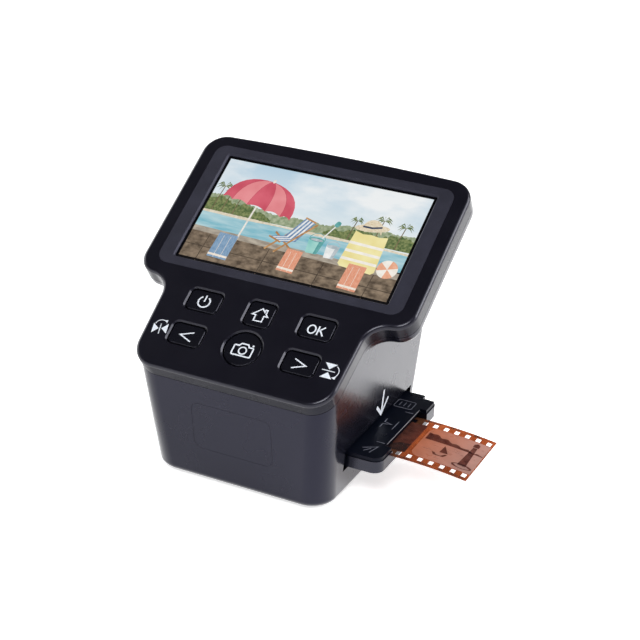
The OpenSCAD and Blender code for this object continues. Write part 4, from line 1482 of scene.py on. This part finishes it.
    def _beach_bag(self) -> None:
        """Draws a bag with a straw hat over it, and a ball, at the right."""
        self._line(arc((28.6, 3.4), 3.6, 8, 172), 0.55, Tone.STRAW)
        bag = [
            (21.4, 3.6), (20.2, -13.2), (21.4, -14.4), (35.4, -15.4), (36.6, -14.2),
            (35.8, 3.2), (32.2, 2.5), (28.6, 3.0), (25.0, 2.6),
        ]
        self._draw(bag, Tone.LEMON)
        for k in range(3):
            left, y = 21.0 - 0.3 * k, -1.6 - 4.0 * k
            stripe = [(left, y), (36.1, y - 0.6), (36.2, y - 1.9), (left - 0.1, y - 1.3)]
            self._draw(stripe, Tone.CREAM)
        hat, slant = (27.6, 6.2), 8
        self._draw(oval(hat, 7.4, 1.9, slant), Tone.STRAW)
        self._draw(turned(arc(hat, 4.2, 0, 180), hat, slant), Tone.STRAW)
        self._line(turned([(23.5, 6.9), (27.6, 6.3), (31.7, 6.9)], hat, slant), 0.9, Tone.HAT_BAND)
        ball, size = (41.2, -11.4), 4.4
        self._draw(oval(ball, size, size), Tone.CREAM)
        for start in (20, 140, 260):
            self._draw([ball] + arc(ball, size, start, start + 58, 10), Tone.PEACH)

    def _towels(self) -> None:
        """Draws towels that hang over the wall."""
        for left, wide, low, skin in (
            (-35.0, 9.0, -24.0, Tone.BLUE_TOWEL), (-3.4, 7.4, -23.2, Tone.PEACH_TOWEL),
            (24.4, 8.2, -25.0, Tone.PEACH_TOWEL),
        ):
            right, top = left + wide, self.wall_top - 0.4 - (left + 47) * 0.02
            fold = [(left + 0.7, top), (right + 0.4, top - 0.3)]
            self._draw([*fold, (right, low), (left, low + 0.4)], skin)
            stripe = [(left, low + 2.3), (right, low + 1.9), (right, low + 0.9), (left, low + 1.3)]
            self._draw(stripe, Tone.FRINGE)
            for share in (0.32, 0.66):
                x = left + wide * share
                self._line([(x + 0.4, top - 1.2), (x, low + 0.4)], 0.16, Tone.FRINGE)


# ---------------------------------------------------------------- tray and film


@dataclass
class TrayMarks:
    """The raised marks on the tray's lid, which show how the film lies."""

    finish: Moulded = Moulded(
        "tray_marks", (104, 106, 116), 0.3, 0.4, 0.003, 0.05, 0.6, 0.2, 0.0
    )
    # Pale grey strip along the lid's outer edge: a painted highlight where that edge catches light.
    edge: Moulded = Moulded(
        "tray_edge_painted_highlight", (150, 150, 154), 0.2, 0.4, 0.001, 0.05, 0.6, 0.4, 0.0
    )
    line: float = 0.3
    highlight_line: float = 0.22
    thick: float = 0.12

    def build(self) -> None:
        """Raises the lid's marks, and a pale strip on its outer edge as a painted highlight."""
        # A pale strip along the lid's outer edge, standing in for its highlight: painted highlight.
        highlight_strip = Sketch("tray_lid_painted_highlight", LAYOUT.lid)
        highlight_strip.stroke([(52.3, -16.6), (52.3, 16.6)], self.highlight_line)
        highlight_strip.build(Body.TRAY, [self.edge.make()], self.thick, "tray_black", 0.04)
        marks = Sketch("tray_lid_marks", LAYOUT.lid)
        marks.stroke(rounded((44.9, 18.4), 8.0, 6.6, 0.9), self.line, closed=True)
        for points in (
            *([(x, 16.7), (x, 20.1)] for x in (42.9, 44.9, 46.9)),
            [(43.6, 3.4), (43.6, 0.4), (47.2, -0.6), (43.6, -1.6), (43.6, -4.6)],
            [(48.9, 3.0), (48.9, -4.2)],
            [(44.6, -23.6), (50.0, -20.3), (48.6, -26.0)],
            [(45.9, -25.6), (48.0, -22.6)],
            *([(47.6, y), (51.2, y)] for y in (-16.4, 12.4)),
        ):
            marks.stroke(points, self.line)
        marks.build(Body.TRAY, [self.finish.make()], self.thick, "tray_black", 0.03)


@dataclass
class FilmPicture:
    """The exposed frames on the film and the dark marks along its edges."""

    exposed: FilmBase = FilmBase(
        "film_exposed", (255, 244, 234), (230, 206, 192), 6.5, 0.6, 0.35,
        haze=(203, 127, 95), haze_end=(198, 163, 153),
    )
    paler: FilmBase = FilmBase(
        "film_exposed_light", (255, 250, 248), (248, 238, 234), 5.0, 0.2, 0.35, (206, 172, 162)
    )
    dark: FilmBase = FilmBase(
        "film_shade", (186, 168, 166), (160, 138, 138), 3.0, 0.12, 0.35, (124, 102, 98)
    )
    mark: FilmBase = FilmBase("film_edge_ink", (112, 84, 72), (84, 60, 52), 1.0, 0.5)
    start: float = 60.2
    end: float = 86.6
    half: float = 12.4
    corner: float = 4.0
    lift: float = 0.012
    seed: int = 5
    inner: Flat = (22.2, -15.8)
    pitch: float = 36.0
    hill_steps: int = 30
    # Hill step from which the first frame is filled dark up to the film's edge, as painted shade by
    # the lid.
    painted_shade_from: int = 19
    marks_from: float = 56.4
    mark_rows: Flat = (15.85, 17.15)

    def build(self) -> None:
        """Lays the exposed frames, their pictures and the edge marks on the film."""
        exposed, tones = self.exposed.make(), [self.dark.make(), self.paler.make()]
        self._frame(exposed)
        self._bay(tones)
        self._edge_marks()
        for number, start in enumerate(self.inner):
            self._inner_frame(number, start, exposed)
            self._hills(number, start, tones)

    def _lay(self, sketch: Sketch, finishes: Sequence[Material]) -> None:
        """Builds one layer on the film."""
        sketch.build(Body.FILM, finishes, slot="film_base")

    def _frame(self, finish: Material) -> None:
        """Lays the outer frame, rounded where it begins.

        Args:
            finish: Its material.
        """
        sketch = Sketch("film_frame", LAYOUT.film)
        inset, turn = self.start + self.corner, self.half - self.corner
        sketch.grid((inset, -self.half), (self.end, self.half), (12, 4), self.lift)
        rounding = arc((inset, turn), self.corner, 90, 180, 8)
        rounding += arc((inset, -turn), self.corner, 180, 270, 8)
        sketch.fill(rounding, self.lift)
        self._lay(sketch, [finish])

    def _bay(self, tones: Sequence[Material]) -> None:
        """Lays a bay with a headland, a sailing boat and a lighthouse inside the outer frame.

        Args:
            tones: The dark and the light finish of the picture.
        """
        sketch = Sketch("film_bay", LAYOUT.film)
        dice = random.Random(self.seed)
        low, high = self.lift * 2, self.lift * 3
        step = 0.8
        x, last = self.start + step, 8.0
        while x < self.end - step:
            share = (x - self.start) / (self.end - self.start)
            ridge = 3.2 + 5.4 * (1 - share) ** 1.6 + 0.5 * math.sin(x * 1.3)
            here = ridge + dice.uniform(-0.2, 0.2)
            sketch.fill([(x, 2.6), (x + step, 2.6), (x + step, here), (x, last)], low)
            last = here
            x += step
        for x0, x1, y in (
            (66.0, 76.5, -0.6), (74.0, 84.0, 0.8), (69.0, 82.0, -9.4), (62.5, 67.5, -4.6),
        ):
            sketch.fill(oval(((x0 + x1) / 2, y), (x1 - x0) / 2, 0.35), low, 1)
        hull = [(67.4, -5.4), (74.0, -5.0), (72.8, -7.2), (68.6, -7.4)]
        sail = [(70.2, -4.4), (70.6, 1.4), (73.8, -4.1)]
        tower = [(79.6, -8.6), (80.5, 7.4), (82.3, 7.4), (83.2, -8.6)]
        lantern = [(80.1, 7.8), (80.1, 10.0), (81.4, 11.2), (82.7, 10.0), (82.7, 7.8)]
        sketch.fill(hull, low)
        for outline in (sail, tower, lantern):
            sketch.fill(outline, high)
        sketch.fill(oval((81.6, -9.0), 4.4, 1.7), low)
        self._lay(sketch, tones)

    def _inner_frame(self, number: int, start: float, exposed: Material) -> None:
        """Lays one of the frames further in along the strip.

        Args:
            number: Which frame it is, counted inwards.
            start: Where it begins along the strip.
            exposed: Its material.
        """
        frame = Sketch(f"film_inner_frame_{number}", LAYOUT.film)
        frame.grid((start, -self.half), (start + self.pitch, self.half), (24, 4), self.lift)
        self._lay(frame, [exposed])

    def _hills(self, number: int, start: float, tones: Sequence[Material]) -> None:
        """Lays hills under a low sun on one of the inner frames; the first one ends in painted
        shade.

        Args:
            number: Which frame it is, counted inwards.
            start: Where it begins along the strip.
            tones: The dark and the light finish of the picture.
        """
        hills = Sketch(f"film_hills_{number}", LAYOUT.film)
        steps, wide = self.hill_steps, self.pitch / self.hill_steps
        for layer, base in ((2, 1.0), (3, -4.5)):
            tops = []
            for i in range(steps + 1):
                swell = base + 2.6 * math.sin(i * 0.33 + number * 1.7 + layer)
                tops.append(swell + math.sin(i * 0.9 + layer))
            # On the first frame the back hills rise to the film's edge for the stretch beside the
            # lid: a dark fill that is painted shade.
            if number == 0 and layer == 2:
                tops[self.painted_shade_from :] = [self.half] * (steps + 1 - self.painted_shade_from)
            for i in range(steps):
                x = start + wide * i
                foot = [(x, -self.half), (x + wide, -self.half)]
                hills.fill([*foot, (x + wide, tops[i + 1]), (x, tops[i])], self.lift * layer)
        hills.fill(oval((start + 8 + 7 * number, 8.2), 2.0, 2.0), self.lift * 2, 1)
        self._lay(hills, tones)

    def _edge_marks(self) -> None:
        """Lays short bars of several lengths outside the perforations."""
        sketch = Sketch("film_edge_marks", LAYOUT.film)
        dice = random.Random(self.seed)
        for side in (-1, 1):
            low, high = sorted(side * row for row in self.mark_rows)
            x = self.marks_from
            while x < self.end - 2:
                for _ in range(dice.choice((3, 5, 7))):
                    long = dice.choice((0.3, 0.5, 0.8))
                    sketch.fill([(x, low), (x + long, low), (x + long, high), (x, high)], self.lift)
                    x += long + dice.choice((0.3, 0.4))
                x += dice.choice((3.5, 6.5))
        self._lay(sketch, [self.mark.make()])


# ---------------------------------------------------------------- studio


@dataclass(frozen=True)
class Softbox:
    """One soft lamp, aimed at the object."""

    name: str
    where: Triple
    wide: float
    high: float
    power: float
    aim: Triple = (0.0, 0.0, 0.06)

    def build(self) -> None:
        """Hangs the lamp."""
        light = bpy.data.lights.new(self.name, "AREA")
        light.shape = "RECTANGLE"
        light.size, light.size_y = self.wide, self.high
        light.energy = self.power
        lamp = stand(self.name, light)
        lamp.location = self.where
        way = Vector(self.aim) - Vector(self.where)
        lamp.rotation_euler = way.to_track_quat("-Z", "Y").to_euler()


@dataclass
class Studio:
    """Pale floor that sweeps up into a backdrop, soft lamps and the camera, in metres."""

    eye: Triple = (0.25441, -0.53090, 0.33876)
    yaw: float = 25.391
    pitch: float = 25.125
    roll: float = 2.189
    lens: float = 90.13
    film_gate: float = 36.0
    sight: Flat = (0.05, 20.0)
    floor_rings: Flat = (0.4, 1.2)
    sweep_radius: float = 2.6
    sweep_bend: float = 0.6
    sweep_height: float = 0.62
    sweep_sides: int = 64
    paper: Colour = (243, 243, 243)
    glow: float = 0.7
    mirrored_glow: float = 0.72
    air: Triple = (0.93, 0.95, 1.0)
    air_strength: float = 0.08
    lamps: tuple[Softbox, ...] = (
        Softbox("lamp_key", (1.45, 0.7, 1.3), 1.4, 1.4, 32.0),
        Softbox("lamp_right", (1.4, 0.3, 0.75), 0.5, 0.5, 4.0),
        Softbox("lamp_left", (-1.4, 0.35, 0.6), 1.2, 1.0, 10.0),
        Softbox("lamp_front", (0.3, -1.0, 1.25), 0.8, 0.6, 14.0),
    )

    def build(self) -> None:
        """Sets up floor, lamps, world and camera."""
        self._sweep()
        for lamp in self.lamps:
            lamp.build()
        self._world()
        self._camera()

    def _profile(self) -> list[Flat]:
        """Works out the floor's outline.

        Returns:
            Its rings from the middle out, each its radius and height.
        """
        flat, bend = self.sweep_radius - self.sweep_bend, self.sweep_bend
        turn = [math.radians(step) for step in range(15, 91, 15)]
        rim = [(flat + bend * math.sin(a), bend - bend * math.cos(a)) for a in turn]
        level = [(radius, 0.0) for radius in (*self.floor_rings, flat)]
        return [*level, *rim, (self.sweep_radius, self.sweep_height)]

    def _sweep(self) -> None:
        """Makes the round floor with its raised rim."""
        mesh = bmesh.new()
        count = self.sweep_sides
        turns = [2 * math.pi * i / count for i in range(count)]
        rings = [
            [mesh.verts.new((radius * math.cos(a), radius * math.sin(a), height)) for a in turns]
            for radius, height in self._profile()
        ]
        middle = mesh.verts.new((0, 0, 0))
        for i in range(count):
            mesh.faces.new((middle, rings[0][i], rings[0][(i + 1) % count]))
        for low, high in zip(rings, rings[1:]):
            for i in range(count):
                j = (i + 1) % count
                mesh.faces.new((low[i], high[i], high[j], low[j]))
        for face in mesh.faces:
            face.smooth = True
        bmesh.ops.recalc_face_normals(mesh, faces=mesh.faces)
        sweep = cast("studio_sweep", mesh, [self._paper()])

    def _paper(self) -> Material:
        """Lays out the backdrop's paper.

        Returns:
            The material, which shows white and keeps the object's shadow.
        """
        bench = Bench("studio_paper")
        path = bench.add("LightPath", {}).outputs
        total = bench.sum("MULTIPLY", path["Is Camera Ray"], self.glow)
        for kind, strength in (
            ("Is Glossy Ray", self.mirrored_glow), ("Is Transmission Ray", self.glow),
        ):
            part = bench.sum("MULTIPLY", path[kind], strength)
            total = bench.sum("MAXIMUM", total, part)
        bench.put({
            "Base Color": linear(self.paper),
            "Roughness": 0.9,
            "Specular IOR Level": 0.1,
            "Emission Color": (1.0, 1.0, 1.0, 1.0),
            "Emission Strength": total,
        })
        return bench.material

    def _world(self) -> None:
        """Sets the dim, even light from above."""
        world = bpy.data.worlds.new("studio_air")
        world.use_nodes = True
        air = world.node_tree.nodes["Background"]
        air.inputs["Color"].default_value = (*self.air, 1.0)
        air.inputs["Strength"].default_value = self.air_strength
        bpy.context.scene.world = world

    def _camera(self) -> None:
        """Places the camera."""
        yaw, pitch, roll = (math.radians(a) for a in (self.yaw, self.pitch, self.roll))
        level = math.cos(pitch)
        ahead = Vector((-math.sin(yaw) * level, math.cos(yaw) * level, -math.sin(pitch)))
        right = Vector((math.cos(yaw), math.sin(yaw), 0.0))
        down = ahead.cross(right)
        across = math.cos(roll) * right - math.sin(roll) * down
        under = math.sin(roll) * right + math.cos(roll) * down
        turn = Matrix((across, -under, -ahead)).transposed().to_4x4()
        data = bpy.data.cameras.new("studio_camera")
        data.lens = self.lens
        data.sensor_width = self.film_gate
        data.clip_start, data.clip_end = self.sight
        camera = stand("studio_camera", data)
        camera.matrix_world = Matrix.Translation(self.eye) @ turn
        bpy.context.scene.camera = camera


def main() -> None:
    """Builds the studio and dresses the scanner."""
    logging.basicConfig(level=logging.INFO, format="%(name)s: %(message)s")
    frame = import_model()
    Studio().build()
    Shell().dress(frame)
    Legends().build()
    SeasideView().build()
    TrayMarks().build()
    FilmPicture().build()
    bpy.context.scene.view_settings.view_transform = "Standard"


if __name__ == "__main__":
    main()
